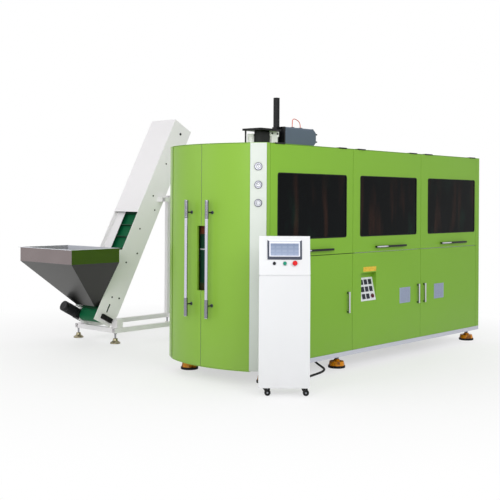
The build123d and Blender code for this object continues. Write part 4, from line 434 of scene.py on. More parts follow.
def dial_face():
    """A gauge's white face with a ring of 24 marks, on a map of the turn and the radius."""
    paint = Paint("dial_face", Roughness=0.3)
    turn, radius = paint.on_map()
    mark = (turn * 24.0).math("FRACT") < 0.62
    ring = (radius > 0.60) * (radius < 0.94) * mark
    paint.put("Base Color", paint.mix(ring, linear(224, 226, 232), linear(34, 36, 46)))


def finish(name):
    """A made material by its name."""
    return bpy.data.materials[FINISH_PREFIX + name]


# Geometry

def placed(name, data):
    """A new object in the scene."""
    thing = bpy.data.objects.new(name, data)
    bpy.context.scene.collection.objects.link(thing)
    return thing


def carried(name, data, body, slot):
    """A new object that rides on a body."""
    thing = placed(name, data)
    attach(thing, body)
    return thing


def make_object(name, points, faces, material, slot, body="root", uv=None, smooth=True):
    """One finished piece: a mesh at the origin, with its finish."""
    mesh = bpy.data.meshes.new(name)
    mesh.from_pydata(points.tolist(), [], faces)
    mesh.validate()
    if uv is not None:
        layer = mesh.uv_layers.new(name="UVMap")
        corners = np.empty(len(mesh.loops), dtype=np.int32)
        mesh.loops.foreach_get("vertex_index", corners)
        layer.data.foreach_set("uv", uv[corners].astype(np.float32).ravel())
    mesh.polygons.foreach_set("use_smooth", [smooth] * len(mesh.polygons))
    mesh.materials.append(finish(material))
    return carried(name, mesh, body, slot)


def grid_faces(rows, columns, closed_rows=False, closed_columns=True, start=0):
    """The four-sided faces of a grid that may close on itself either way."""
    faces = []
    for row in range(rows if closed_rows else rows - 1):
        low = start + row * columns
        high = start + ((row + 1) % rows) * columns
        for column in range(columns if closed_columns else columns - 1):
            after = (column + 1) % columns
            faces.append((low + column, low + after, high + after, high + column))
    return faces


def polar(radius, angle):
    """Across and up of the points at a radius and an angle."""
    return radius * np.cos(angle), radius * np.sin(angle)


def outline_round(angle):
    return polar(1.0, angle)


def outline_hexagon(angle):
    """A hexagon: the radius is cos 30 over the cosine of the angle from the middle of the side."""
    side = np.mod(angle, math.pi / 3) - math.pi / 6
    return polar(math.cos(math.pi / 6) / np.cos(side), angle)


def outline_square(angle, power=9.0):
    """A rounded square: the superellipse of that power."""
    reach = np.abs(np.cos(angle)) ** power + np.abs(np.sin(angle)) ** power
    return polar(reach ** (-1.0 / power), angle)


def outline_finned(angle):
    """A circle with cooling fins: the radius falls by the fins' depth between them."""
    gap = 0.5 - 0.5 * np.tanh(6 * np.cos(FIN_COUNT * angle))
    return polar(1.0 - FIN_DEPTH * gap, angle)


def turned(profile, origin, x_axis, y_axis, half=1.0, outline=outline_round, count=40):
    """Points and faces of a closed surface round an axis.

    point(u, v) = origin + size(v) (half_x cx(u) X + half_y cy(u) Y) + height(v) Z, in millimetres,
    where cx and cy trace the outline. The profile starts and ends at size 0, which makes poles.
    """
    sizes, heights = np.array(profile, dtype=float).T
    normal = np.cross(x_axis, y_axis)
    angle = np.linspace(0, 2 * math.pi, count, endpoint=False)
    cx, cy = outline(angle)
    half_x, half_y = np.broadcast_to(half, 2)
    ring = half_x * cx[:, None] * x_axis + half_y * cy[:, None] * y_axis
    middle = sizes[1:-1, None, None] * ring[None] + heights[1:-1, None, None] * normal
    points = np.concatenate([
        [heights[0] * normal], middle.reshape(-1, 3), [heights[-1] * normal],
    ]) * MM + origin
    rows = len(sizes) - 2
    faces = grid_faces(rows, count, start=1)
    last = 1 + (rows - 1) * count
    top = len(points) - 1
    for column in range(count):
        after = (column + 1) % count
        faces.append((0, 1 + after, 1 + column))
        faces.append((last + column, last + after, top))
    return points, faces


def rounded_path(half_x, half_z, radius):
    """A rounded rectangle as points and outward directions, for a section carried round it."""
    corner = np.linspace(0, math.pi / 2, 6)
    points, normals = [], []
    for quarter, (sx, sz) in enumerate(((1, 1), (-1, 1), (-1, -1), (1, -1))):
        turn = corner + quarter * math.pi / 2
        way = np.stack([np.cos(turn), np.sin(turn)], 1)
        centre = np.array([sx * (half_x - radius), sz * (half_z - radius)])
        points.append(centre + radius * way)
        normals.append(way)
    return np.concatenate(points), np.concatenate(normals)


def framed(path, normals, section, origin, x_axis, z_axis, depth_axis):
    """A section carried round a flat closed path.

    point = origin + (path + s normal) in the plane + t depth, for each point (s, t) of the section.
    """
    section = np.array(section, dtype=float)
    flat = path[None] + section[:, 0][:, None, None] * normals[None]
    depth = section[:, 1][:, None, None] * depth_axis
    points = flat[..., :1] * x_axis + flat[..., 1:] * z_axis + depth
    faces = grid_faces(len(section), len(path), closed_rows=True)
    return points.reshape(-1, 3) * MM + origin, faces


def round_frame(section, origin, across, rise, count):
    """A section carried round a circle: its points are the radius and the height over the plane."""
    angle = np.linspace(0, 2 * math.pi, count, endpoint=False)
    circle = np.stack([np.cos(angle), np.sin(angle)], 1)
    return framed(circle * 0, circle, section, origin, across, rise, np.cross(across, rise))


def eased(bottom, top, edge, ease):
    """The profile of a plate or nut, full size between two eased edges."""
    low = [(0, bottom), (edge, bottom), (1.0, bottom + ease)]
    return low + [(1.0, top - ease), (edge, top), (0, top)]


def slab(centre, x_axis, y_axis, half, thickness):
    """A flat sheet with eased edges, standing on its centre: the turned surface of a square."""
    return turned(
        eased(0, thickness, 0.998, 0.4), centre, x_axis, y_axis, half,
        lambda angle: outline_square(angle, 60.0), 96,
    )


def joined(parts):
    """Several point and face sets as one."""
    points, faces, start = [], [], 0
    for part_points, part_faces in parts:
        points.append(part_points)
        faces.extend(tuple(index + start for index in face) for face in part_faces)
        start += len(part_points)
    return np.concatenate(points), faces


def outward(piece):
    """Turns every face outwards."""
    shape = bmesh.new()
    shape.from_mesh(piece.data)
    bmesh.ops.recalc_face_normals(shape, faces=shape.faces)
    shape.to_mesh(piece.data)
    shape.free()
    return piece


def piece(name, parts, material, slot, body="root", smooth=True):
    """One finished piece of several closed parts."""
    points, faces = joined(parts)
    return outward(make_object(name, points, faces, material, slot, body, smooth=smooth))


# Planes of the drawing

def console_at(x, y, z):
    return at(*CONSOLE_CORNER, z) + (CONSOLE_ACROSS * x + CONSOLE_DEEP * y) * MM


def console_face(x, height):
    """Origin, across and up the slope of the head's face at a height."""
    rise = HEAD_TOP - HEAD_BOTTOM
    depth = (height - HEAD_BOTTOM) / rise * HEAD_SLOPE
    slope = CONSOLE_DEEP * HEAD_SLOPE + UP * rise
    return console_at(x, depth, height), CONSOLE_ACROSS, slope / np.linalg.norm(slope)


def post_face(height):
    """Origin, across and up of the front corner post's face."""
    across = np.array([-POST_END[0], -POST_END[1], 0.0])
    across /= np.linalg.norm(across)
    return at(POST_END[0] / 2, POST_END[1] / 2, height), across, UP


def slope_at(along, out, y):
    return at(TAIL[0], y, TAIL[1]) + (SLOPE_ALONG * along + SLOPE_OUT * out) * MM


# Settings

def swatch(label, text, rgb):
    return bpy.props.FloatVectorProperty(
        name=label, description=text, subtype="COLOR", size=3, min=0.0, max=1.0,
        default=linear(*rgb),
    )


def measure(label, text, size, unit="LENGTH"):
    return bpy.props.FloatProperty(name=label, description=text, default=size, unit=unit)


class MoulderColours(bpy.types.PropertyGroup):
    """The finishes' main colours."""

    green: swatch("Cabinet green", "Enamel of the doors and panels", (125, 174, 51))
    end_green: swatch("End door green", "Enamel of the curved doors", (129, 172, 59))
    white: swatch("White", "Powder coat of the console", (219, 220, 222))
    # The elevator's white is lighter than the console's and tinted against green: painted light, to
    # cancel the cabinet's shade and the green light bounced from it.
    elevator: swatch("Elevator white", "Powder coat of the elevator", (238, 236, 238))
    plinth: swatch("Plinth white", "Paint of the base beams", (205, 206, 220))
    pane: swatch("Pane", "Smoked window sheet", (9, 12, 14))
    motor: swatch("Motor", "Paint of the servo motor", (92, 104, 122))
    belt: swatch("Belt", "Cover of the elevator belt", (8, 92, 56))
    hopper_band: swatch("Hopper walls", "Upright stainless walls", (136, 126, 126))
    # The near wall's and the slopes' steel are copies of the walls' steel, toned as painted shade.
    hopper_near: swatch("Hopper near wall", "Stainless wall by the cabinet", (138, 139, 134))
    hopper_slope: swatch("Hopper slopes", "Sloping stainless walls", (66, 66, 64))
    orange: swatch("Foot orange", "Paint of the foot caps", (226, 142, 8))
    screen_low: swatch("Screen, low", "Lower part of the display", (150, 162, 188))
    screen_high: swatch("Screen, high", "Upper part of the display", (116, 130, 154))


class MoulderSizes(bpy.types.PropertyGroup):
    """Sizes of the added trim."""

    gasket: measure("Gasket width", "Width of the rubber round each window", 0.009)
    fin_radius: measure("Fin radius", "Outer radius of the elevator motor's fins", 0.058)
    exposure_key: measure("Key lamp", "Power of the large lamp", 330.0, "POWER")


# Operators

class MOULDER_OT_finishes(bpy.types.Operator):
    """Makes the materials"""

    bl_idname = "moulder.finishes"
    bl_label = "Make the finishes"

    def execute(self, context):
        palette = context.scene.moulder_colours
        sheet_paint("green_enamel", palette.green, 0.36)
        sheet_paint("end_enamel", palette.end_green, 0.33, 0.03, 0.28)
        sheet_paint("white_coat", palette.white, 0.42, 0.02)
        # Painted light: a lighter white with a faint pink tint, for pieces in the cabinet's shade
        # and its green bounce.
        sheet_paint("elevator_coat", palette.elevator, 0.42, 0.02)
        sheet_paint("post_coat", linear(203, 209, 202), 0.42, 0.02)
        sheet_paint("plinth_coat", palette.plinth, 0.45, 0.03)
        sheet_paint("inner_coat", linear(120, 122, 126), 0.5, 0.05)
        sheet_paint("black_coat", linear(15, 15, 19), 0.42, 0.12)
        sheet_paint("motor_coat", palette.motor, 0.40, 0.05)
        foot_enamel(palette)
        worn_yellow()
        grille_steel()
        metal("chrome", linear(214, 215, 222), 0.12, (1, 1, 0.1), 60.0, 0.05)
        metal("tube_steel", linear(206, 204, 218), 0.16, (1, 1, 0.1), 60.0, 0.04)
        # A darker copy of the pulls' steel: painted shade on the pulls' left flanks and ends, and a
        # painted dark reflection on the tube handles' sleeves.
        metal("grip_steel", linear(138, 138, 146), 0.24, (1, 1, 1), 260.0, 0.30)
        metal("pull_steel", linear(206, 206, 212), 0.30, (1, 1, 0.05), 160.0)
        metal("rim_steel", linear(70, 72, 84), 0.3)
        metal("satin_steel", linear(186, 186, 198), 0.30, (1, 1, 0.05), 160.0)
        metal("machined_steel", linear(150, 150, 156), 0.34, (0.1, 1, 1), 120.0)
        metal("bronze_steel", linear(148, 140, 116), 0.3)
        metal("caster_grey", linear(150, 152, 158), 0.35)
        # Copies of the hopper's steel: the slopes, the near wall and the far wall's inside are
        # toned as painted shade, and the right wall and the rim as painted light.
        hopper_steel("hopper_slope", palette.hopper_slope, 0.30)
        hopper_steel("hopper_band", palette.hopper_band, 0.24)
        hopper_steel("hopper_near", palette.hopper_near, 0.22)
        sheet_paint("hopper_inner", linear(150, 151, 156), 0.3, 0.10, 0.5)
        sheet_paint("hopper_light", linear(206, 209, 218), 0.3, 0.06, 0.5)
        hopper_steel("hopper_bright", linear(206, 208, 216), 0.35)
        smoked_pane(palette)
        belt_rubber(palette)
        # The dark sheet behind the slot: painted shade for the machine's inside.
        moulded("screen_sheet", linear(20, 66, 46), 0.5)
        moulded("olive_block", linear(58, 62, 30), 0.5)
        moulded("brown_block", linear(104, 52, 32), 0.5)
        moulded("belt_cleat", shade(palette.belt, 0.45), 0.5, 300.0, 0.0002)
        moulded("black_rubber", linear(14, 14, 15), 0.6, 500.0, 0.0002, specular=0.2)
        moulded("black_plastic", linear(14, 15, 18), 0.42, specular=0.25)
        moulded("bezel_plastic", linear(66, 70, 84), 0.4, specular=0.2)
        moulded("white_plastic", linear(222, 224, 228), 0.4)
        moulded("red_plastic", linear(206, 24, 28), 0.3, 900.0, 0.00004, 0.05, 0.2)
        moulded("dark_red_plastic", linear(84, 14, 26), 0.35, specular=0.2)
        moulded("meter_plastic", linear(16, 20, 38), 0.35, specular=0.25)
        moulded("green_plastic", linear(0, 134, 104), 0.3, 900.0, 0.00004, 0.05, 0.2)
        moulded("orange_jacket", linear(220, 70, 4), 0.5, specular=0.1)
        moulded("cast_black", linear(18, 19, 22), 0.5, 260.0, 0.0003, specular=0.3)
        screen_picture(palette)
        dial_face()
        return {"FINISHED"}


def dress(node, main, *regions):
    """Gives a node its finish. Each region is a finish and a test of the faces' middles.

    Middles are drawing points. Where two regions meet, the later one counts.
    """
    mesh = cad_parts[node].data
    mesh.materials.clear()
    for name in (main, *[region[0] for region in regions]):
        mesh.materials.append(finish(name))
    middles = np.empty(len(mesh.polygons) * 3)
    mesh.polygons.foreach_get("center", middles)
    x, y, z = (middles.reshape(-1, 3) / MM).T
    x, y = x + FOOT_X, y + FOOT_Y
    index = np.zeros(len(mesh.polygons), dtype=np.int32)
    for number, (_, test) in enumerate(regions, 1):
        index[test(x, y, z)] = number
    mesh.polygons.foreach_set("material_index", index)
    mesh.update()


def dress_plain(**finishes):
    """Gives each finish to its nodes."""
    for name, nodes in finishes.items():
        for node in nodes.split():
            dress(node, name)


def within(value, span):
    return (value > span[0]) & (value < span[1])


def slope_out(x, z):
    """How far drawing points lie out from the line between the elevator's rollers."""
    return -(x - TAIL[0]) * math.sin(SLOPE) + (z - TAIL[1]) * math.cos(SLOPE)


def behind_skin(x, y, z):
    """Whether a face's middle lies behind the outer skin of the curved doors."""
    return np.hypot(x - END_MIDDLE[0], y - END_MIDDLE[1]) < END_RADIUS - 1


def in_slot(x, y, z):
    return (np.abs(y - END_MIDDLE[1]) < SLOT_HALF) & (x < SLOT_X) & within(z, SLOT_Z)


def on_tube(x, y, z):
    """Whether a face's middle lies near one of the two tube handles, clear of the door's skin."""
    aside = np.abs(y - END_MIDDLE[1])
    return (x < TUBE_BACK_X) & (np.abs(aside - TUBE_OFFSET) < TUBE_HALF_BAND)


def on_pull_edge(x, y, z):
    """Whether a face's middle lies on the left side of an upright pull, or on its two ends, which
    get painted shade.
    """
    sides = [np.abs(x - centre + PULL_HALF_WIDTH) < FLANK_REACH for centre in PULL_CENTRES]
    edge = np.any(sides, axis=0) | (z < PULL_FOOT_Z) | (z > PULL_HEAD_Z)
    return (y < PULL_Y) & (z < PULL_BAND_Z) & edge


def on_grille(x, y, z):
    clear = np.abs(x - GRILLES_APART[0]) > GRILLES_APART[1]
    return within(y, (GRILLE_Y, DOOR_SKIN_Y)) & within(z, GRILLE_Z) & clear


class MOULDER_OT_dress_cabinet(bpy.types.Operator):
    """Paints the cabinet, its doors and what is inside"""

    bl_idname = "moulder.dress_cabinet"
    bl_label = "Paint the cabinet"

    def execute(self, context):
        bar = ("black_plastic", lambda x, y, z: y < BAR_BACK_Y)
        for number in (1, 2, 3):
            dress(f"upper_door_{number}", "green_enamel", bar)
            dress(f"window_pane_{number}", "smoked_pane")
        pull = ("pull_steel", lambda x, y, z: (y < DOOR_SKIN_Y) & (z < PULL_BAND_Z))
        grille = ("grille_steel", on_grille)
        # The pulls' left flanks and ends: painted shade.
        edge = ("grip_steel", on_pull_edge)
        label = ("yellow_plate", lambda x, y, z: (y < DOOR_SKIN_Y) & (z > LABEL_Z))
        dress("lower_door_1", "green_enamel", pull, edge)
        dress("lower_door_2", "green_enamel", pull, grille, edge, label)
        dress("lower_door_3", "green_enamel", pull, grille, edge)
        for name in ("end_door_near", "end_door_far"):
            dress(
                name, "end_enamel",
                ("inner_coat", behind_skin),
                ("end_enamel", in_slot),
                ("tube_steel", on_tube),
                # The tube's sleeves beyond the grip get the darker steel: a painted dark
                # reflection.
                ("grip_steel", lambda x, y, z: on_tube(x, y, z) & ~within(z, GRIP_ENDS)),
                ("black_coat", lambda x, y, z: on_tube(x, y, z) & (x > STAY_FRONT_X)),
            )
        plinth_end = ("end_enamel", lambda x, y, z: (x < PLINTH_END_X) & (z < PLINTH_END_Z))
        dress("plinth_frame", "plinth_coat", plinth_end)
        # The neck above the cap's top is painted black: painted shade for the shadow under the
        # plinth.
        dress("foot_caps", "orange_coat", ("black_coat", lambda x, y, z: z > CAP_TOP_Z))
        green_trim = ("end_enamel", lambda x, y, z: (x > GREEN_TRIM_X) | (y > GREEN_TRIM_Y))
        dress("corner_trims", "post_coat", green_trim)
        dress_plain(
            black_rubber="foot_pads", inner_coat="upright_frame", black_coat="roof_hinges",
            green_enamel="roof_panel rear_panel right_end_panel", chrome="tie_bars",
            satin_steel="gauges mould_half_left mould_half_right",
            machined_steel="work_bed oven_banks", white_plastic="meter_panel",
            meter_plastic="panel_meters", dark_red_plastic="red_button",
        )
        return {"FINISHED"}


class MOULDER_OT_dress_stretch(bpy.types.Operator):
    """Paints the stretch unit"""

    bl_idname = "moulder.dress_stretch"
    bl_label = "Paint the stretch unit"

    def execute(self, context):
        dress_plain(
            # The bracket gets the lighter white: painted light against the green bounce from the
            # roof.
            black_coat="stretch_frame actuator_column", elevator_coat="stretch_bracket",
            cast_black="stretch_gearbox", satin_steel="stretch_carriage",
        )
        dress(
            "servo_motor", "motor_coat",
            ("black_coat", lambda x, y, z: (x < MOTOR_FLANGE_X) | (x > MOTOR_CAP_X)),
            ("black_plastic", lambda x, y, z: z > SOCKET_Z),
        )
        return {"FINISHED"}


class MOULDER_OT_dress_console(bpy.types.Operator):
    """Paints the console and its casters"""

    bl_idname = "moulder.dress_console"
    bl_label = "Paint the console"

    def execute(self, context):
        dress("console_cabinet", "white_coat", ("black_coat", lambda x, y, z: z < BLACK_BASE_Z))
        dress("hmi_panel", "bezel_plastic", ("white_plastic", lambda x, y, z: z > PANEL_STRIP_Z))
        dress_plain(
            white_coat="console_head", black_plastic="selector_switch",
            green_plastic="start_button", red_plastic="stop_button",
        )
        for number in range(1, len(CASTERS) + 1):
            dress(f"caster_fork_{number}", "black_coat")
            dress(f"caster_wheel_{number}", "black_rubber")
        return {"FINISHED"}


class MOULDER_OT_dress_elevator(bpy.types.Operator):
    """Paints the elevator, the hopper and the chute"""

    bl_idname = "moulder.dress_elevator"
    bl_label = "Paint the elevator"

    def execute(self, context):
        screws = ("black_rubber", lambda x, y, z: ~within(y, CASING_Y))
        dress("elevator_casing", "elevator_coat", screws)
        cleats = ("belt_cleat", lambda x, y, z: np.abs(slope_out(x, z)) > BELT_HALF)
        dress("elevator_belt", "belt_rubber", cleats)
        for name in ("tail_roller", "head_roller"):
            dress(name, "machined_steel", ("black_coat", lambda x, y, z: y < ROLLER_END_Y))
        dress("elevator_base", "elevator_coat", ("machined_steel", lambda x, y, z: z < BASE_FEET_Z))
        wall = (BAND_Z, WALL_TOP_Z)
        # Faces get copies of one steel by where light falls: painted shade on the slopes, the near
        # wall and the far wall's inside, and painted light on the right wall and the rim.
        dress(
            "hopper", "hopper_slope",
            ("hopper_band", lambda x, y, z: z > BAND_Z),
            ("hopper_near", lambda x, y, z: (z > BAND_Z) & (y < NEAR_WALL_Y)),
            ("hopper_bright", lambda x, y, z: (z > BAND_Z) & (x > RIGHT_SKIN_X) | (z > RIM_TOP_Z)),
            ("hopper_inner", lambda x, y, z: within(z, wall) & within(y, FAR_WALL_Y)),
            ("hopper_light", lambda x, y, z: within(z, wall) & within(x, RIGHT_WALL_X)),
            ("elevator_coat", lambda x, y, z: x > RIGHT_LIP_X),
        )
        dress_plain(
            elevator_coat="elevator_hood", cast_black="gear_motor", satin_steel="preform_chute",
        )
        return {"FINISHED"}


class MOULDER_OT_gaskets(bpy.types.Operator):
    """Fits a black rubber section round each window"""

    bl_idname = "moulder.gaskets"
    bl_label = "Fit the window rubbers"

    def execute(self, context):
        width = context.scene.moulder_sizes.gasket / MM
        section = [
            (0, 3.6), (0, -0.6), (width * 0.3, -1.8), (width * 0.8, -1.8),
            (width, -0.6), (width, 0.0), (1.0, 0.0), (0.6, 3.6),
        ]
        path, normals = rounded_path(WINDOW_HALF[0] - 1.0, WINDOW_HALF[1] - 1.0, WINDOW_CORNER)
        for number, centre in enumerate(WINDOW_CENTRES, 1):
            part = framed(path, normals, section, at(centre, 0, WINDOW_MIDDLE), EAST, UP, NORTH)
            piece(
                f"window_rubber_{number}", [part], "black_rubber", "black_paint",
                f"upper_guard_{number}", smooth=False,
            )
        return {"FINISHED"}


class MOULDER_OT_gauge_faces(bpy.types.Operator):
    """Adds to each gauge a dial, point = radius (cos turn, sin turn) on the post, and a needle"""

    bl_idname = "moulder.gauge_faces"
    bl_label = "Add the gauge faces"

    def execute(self, context):
        needles = []
        for number, height in enumerate(GAUGE_HEIGHTS, 1):
            origin, across, up = post_face(height)
            out = np.cross(across, up)
            count, rings = 72, np.array([0.0, 0.3, 0.6, 0.8, 1.0])
            angle = np.linspace(0, 2 * math.pi, count + 1)
            flat = rings[:, None, None] * DIAL_RADIUS * (
                np.cos(angle)[None, :, None] * across + np.sin(angle)[None, :, None] * up
            )
            points = flat.reshape(-1, 3) * MM + origin + out * DIAL_OUT * MM
            faces = grid_faces(len(rings), count + 1, closed_columns=False)
            turn = np.mod(DIAL_START - angle / (2 * math.pi), 1.0)
            turn[-1] = turn[-2] - 1.0 / count
            uv = np.stack(np.broadcast_arrays(turn[None], rings[:, None]), -1).reshape(-1, 2)
            make_object(f"gauge_face_{number}", points, faces, "dial_face", "gauge_chrome", uv=uv)
            tilt = math.radians(215 - 35 * number)
            along = across * math.cos(tilt) + up * math.sin(tilt)
            aside = np.cross(out, along)
            blade = [(0, 0), (0.9, 0.1), (1.0, 0.6), (0.9, 1.0), (0, 1.1)]
            start = origin + (out * NEEDLE_OUT + along * NEEDLE_ALONG) * MM
            needles.append(turned(blade, start, along, aside, NEEDLE_HALF, count=16))
            boss = origin + out * BOSS_OUT * MM
            needles.append(turned(blade, boss, across, up, BOSS_RADIUS, count=20))
        piece("gauge_needles", needles, "black_plastic", "gauge_chrome")
        return {"FINISHED"}


class MOULDER_OT_console_details(bpy.types.Operator):
    """Adds the display, which rises by bulge (1 - u u)(1 - v v), and the controls' collars"""

    bl_idname = "moulder.console_details"
    bl_label = "Add the console's details"

    def execute(self, context):
        origin, across, up = console_face(*DISPLAY_CENTRE)
        out = np.cross(across, up)
        steps = np.linspace(-1, 1, 9)
        gx, gy = np.meshgrid(steps, steps)
        rise = DISPLAY_OUT + DISPLAY_BULGE * (1 - gx ** 2) * (1 - gy ** 2)
        wide, tall = gx * DISPLAY_HALF[0], gy * DISPLAY_HALF[1]
        flat = wide[..., None] * across + tall[..., None] * up + rise[..., None] * out
        points = flat.reshape(-1, 3) * MM + origin
        faces = grid_faces(len(steps), len(steps), closed_columns=False)
        uv = np.stack([(gx + 1) / 2, (gy + 1) / 2], -1).reshape(-1, 2)
        make_object("display", points, faces, "screen_picture", "screen_plastic", uv=uv)

        collars = []
        for x, inner, outer in COLLARS:
            section = [
                (inner, 0.1), (outer, 0.1), (outer, 1.6),
                (outer - 1, 2.4), (inner + 1, 2.4), (inner, 1.6),
            ]
            collars.append(round_frame(section, *console_face(x, CONTROL_HEIGHT), 40))
        piece("control_collars", collars, "satin_steel", "gauge_chrome")
        return {"FINISHED"}


class MOULDER_OT_wheel_hubs(bpy.types.Operator):
    """Adds a nut to both ends of each caster's axle"""

    bl_idname = "moulder.wheel_hubs"
    bl_label = "Add the axle nuts"

    def execute(self, context):
        profile = [(0, 0), (0.96, 0), (1.0, 0.6), (0.9, 2.2), (0.5, 3.2), (0, 3.4)]
        for number, (x, y) in enumerate(CASTERS, 1):
            nuts = []
            for side in (-1, 1):
                centre = console_at(x + CASTER_TRAIL, y + side * AXLE_NUT_OUT, WHEEL_RADIUS)
                nuts.append(turned(
                    profile, centre, CONSOLE_ACROSS, UP * -side, AXLE_NUT_RADIUS,
                    outline_hexagon, 36,
                ))
            piece(f"axle_nuts_{number}", nuts, "caster_grey", "caster_black", f"swivel_{number}")
        return {"FINISHED"}


class MOULDER_OT_fasteners(bpy.types.Operator):
    """Adds nuts and bells to the feet, and bolt heads to the stretch unit's bracket"""

    bl_idname = "moulder.fasteners"
    bl_label = "Add nuts and bolts"

    def execute(self, context):
        self.nuts("foot_nuts", eased(0, 14, 0.9, 1.2), FEET, FOOT_NUTS_Z, FOOT_NUT_RADIUS)
        self.nuts("base_nuts", eased(0, 9, 0.9, 1), BASE_FEET, BASE_NUTS_Z, BASE_NUT_RADIUS)
        bell = [
            (0, 0.5), (53, 0.5), (55, 2), (55, 10), (52, 15), (40, 22),
            (30, 30), (26, 40), (25, 52), (22, 56), (0, 56),
        ]
        bells = [turned(bell, at(x, y, 0), EAST, NORTH) for x, y in BASE_FEET]
        piece("base_bells", bells, "bronze_steel", "machined_steel")
        head = [(0, 0), (0.95, 0), (1.0, 1), (1.0, 6), (0.8, 7.5), (0, 7.8)]
        bolts = [
            turned(head, at(x, BRACKET_Y, z), EAST, UP, radius, count=28)
            for x, z, radius in BRACKET_BOLTS
        ]
        piece("bracket_bolts", bolts, "black_coat", "black_paint")
        return {"FINISHED"}

    def nuts(self, name, profile, feet, heights, radius):
        """Hexagons at each of the heights on each foot's stud, as one piece."""
        parts = [
            turned(profile, at(x, y, z), EAST, NORTH, radius, outline_hexagon, 36)
            for x, y in feet for z in heights
        ]
        piece(name, parts, "machined_steel", "machined_steel")


class MOULDER_OT_motor_fins(bpy.types.Operator):
    """Adds cooling fins and a cowl to the elevator's motor"""

    bl_idname = "moulder.motor_fins"
    bl_label = "Add the motor's fins"

    def execute(self, context):
        radius = context.scene.moulder_sizes.fin_radius / MM
        middle = slope_at(0, 0, MOTOR_Y)
        body = [
            (0, 60), (0.9, 60), (0.93, 64), (1.0, 70),
            (1.0, 207), (0.93, 213), (0.9, 215), (0, 215),
        ]
        fins = turned(body, middle, SLOPE_ALONG, NORTH, radius, outline_finned, 208)
        cap = [
            (0, 215), (0.96, 215), (1.0, 217), (1.0, 257),
            (0.95, 261), (0.6, 261.5), (0.55, 259), (0, 259),
        ]
        cowl = turned(cap, middle, SLOPE_ALONG, NORTH, COWL_RADIUS, count=48)
        piece("motor_fins", [fins, cowl], "cast_black", "gearbox_iron")
        return {"FINISHED"}


class MOULDER_OT_handle_ends(bpy.types.Operator):
    """Adds domed ends to the tube handles"""

    bl_idname = "moulder.handle_ends"
    bl_label = "Add the handle ends"

    def execute(self, context):
        turn = np.linspace(0, math.pi / 2, 7)[:-1]
        crown = [(math.cos(a), DOME_FOOT + DOME_RISE * math.sin(a)) for a in turn]
        dome = [(0, 0), (0.99, 0), *crown, (0, DOME_FOOT + DOME_RISE)]
        reach = math.sqrt(END_RADIUS ** 2 - TUBE_OFFSET ** 2) + TUBE_REACH
        centre_x = END_MIDDLE[0] - reach
        for name, aside in TUBE_SIDES:
            y = END_MIDDLE[1] + aside
            top = turned(dome, at(centre_x, y, TUBE_TOP), EAST, NORTH, SLEEVE_RADIUS, count=36)
            low = turned(dome, at(centre_x, y, TUBE_BOTTOM), NORTH, EAST, SLEEVE_RADIUS, count=36)
            leaf = f"end_leaf_{name}"
            piece(f"handle_ends_{name}", [top, low], "tube_steel", "gauge_chrome", leaf)
        return {"FINISHED"}


class MOULDER_OT_bar_highlights(bpy.types.Operator):
    """Lays a painted highlight, a bright strip, on the left third of each bar handle"""

    bl_idname = "moulder.bar_sleeves"
    bl_label = "Lay the painted highlights on the bars"

    def execute(self, context):
        profile = [(0, 0), (0.6, 4), (1.0, 40), (1.0, 150), (0.6, 190), (0, 194)]
        for number, centre in enumerate(WINDOW_CENTRES, 1):
            start = at(centre + HIGHLIGHT_START, HIGHLIGHT_Y, HIGHLIGHT_Z)
            # A bright strip that is a painted highlight.
            highlight = turned(profile, start, NORTH, UP, HIGHLIGHT_HALF, outline_square, 48)
            guard = f"upper_guard_{number}"
            piece(f"bar_highlight_{number}", [highlight], "pull_steel", "black_plastic", guard)
        return {"FINISHED"}


class MOULDER_OT_roses(bpy.types.Operator):
    """Adds a round rose to each stay of the tube handles, and a rim round each gauge"""

    bl_idname = "moulder.roses"
    bl_label = "Add the roses and rims"

    def execute(self, context):
        disc = [(0, -3), (0.98, -3), (1.0, -2), (1.0, 3), (0.8, 5), (0, 5)]
        skin = END_MIDDLE[0] - math.sqrt(END_RADIUS ** 2 - TUBE_OFFSET ** 2)
        for name, aside in TUBE_SIDES:
            places = [at(skin, END_MIDDLE[1] + aside, z) for z in STAY_HEIGHTS]
            roses = [turned(disc, place, UP, NORTH, ROSE_RADIUS, count=32) for place in places]
            piece(f"handle_roses_{name}", roses, "rim_steel", "gauge_chrome", f"end_leaf_{name}")
        section = [(26.8, 0.1), (32.5, 0.1), (32.5, 7), (31, 10), (28, 11), (26.8, 10)]
        rims = [round_frame(section, *post_face(height), 48) for height in GAUGE_HEIGHTS]
        piece("gauge_rims", rims, "rim_steel", "gauge_chrome")
        return {"FINISHED"}


class MOULDER_OT_seam_strip(bpy.types.Operator):
    """Adds the rest strips that show in the seam between upper and lower doors; the black strip at
    the left is painted shade
    """

    bl_idname = "moulder.seam_strip"
    bl_label = "Add the seam strip"

    def execute(self, context):
        strips = []
        profile = eased(-1.0, 1.0, 0.999, 0.4)
        for start, end in SEAM_SPANS:
            centre = at((start + end) / 2, SEAM_Y, SEAM_Z)
            half = ((end - start) / 2, SEAM_HALF)
            strips.append(turned(profile, centre, EAST, NORTH, half, outline_square, 72))
        # The left strip is black: painted shade in that seam.
        piece("seam_shade_strip_left", strips[:1], "black_rubber", "frame_paint", smooth=False)
        piece("seam_strip_right", strips[1:], "white_plastic", "frame_paint", smooth=False)
        return {"FINISHED"}


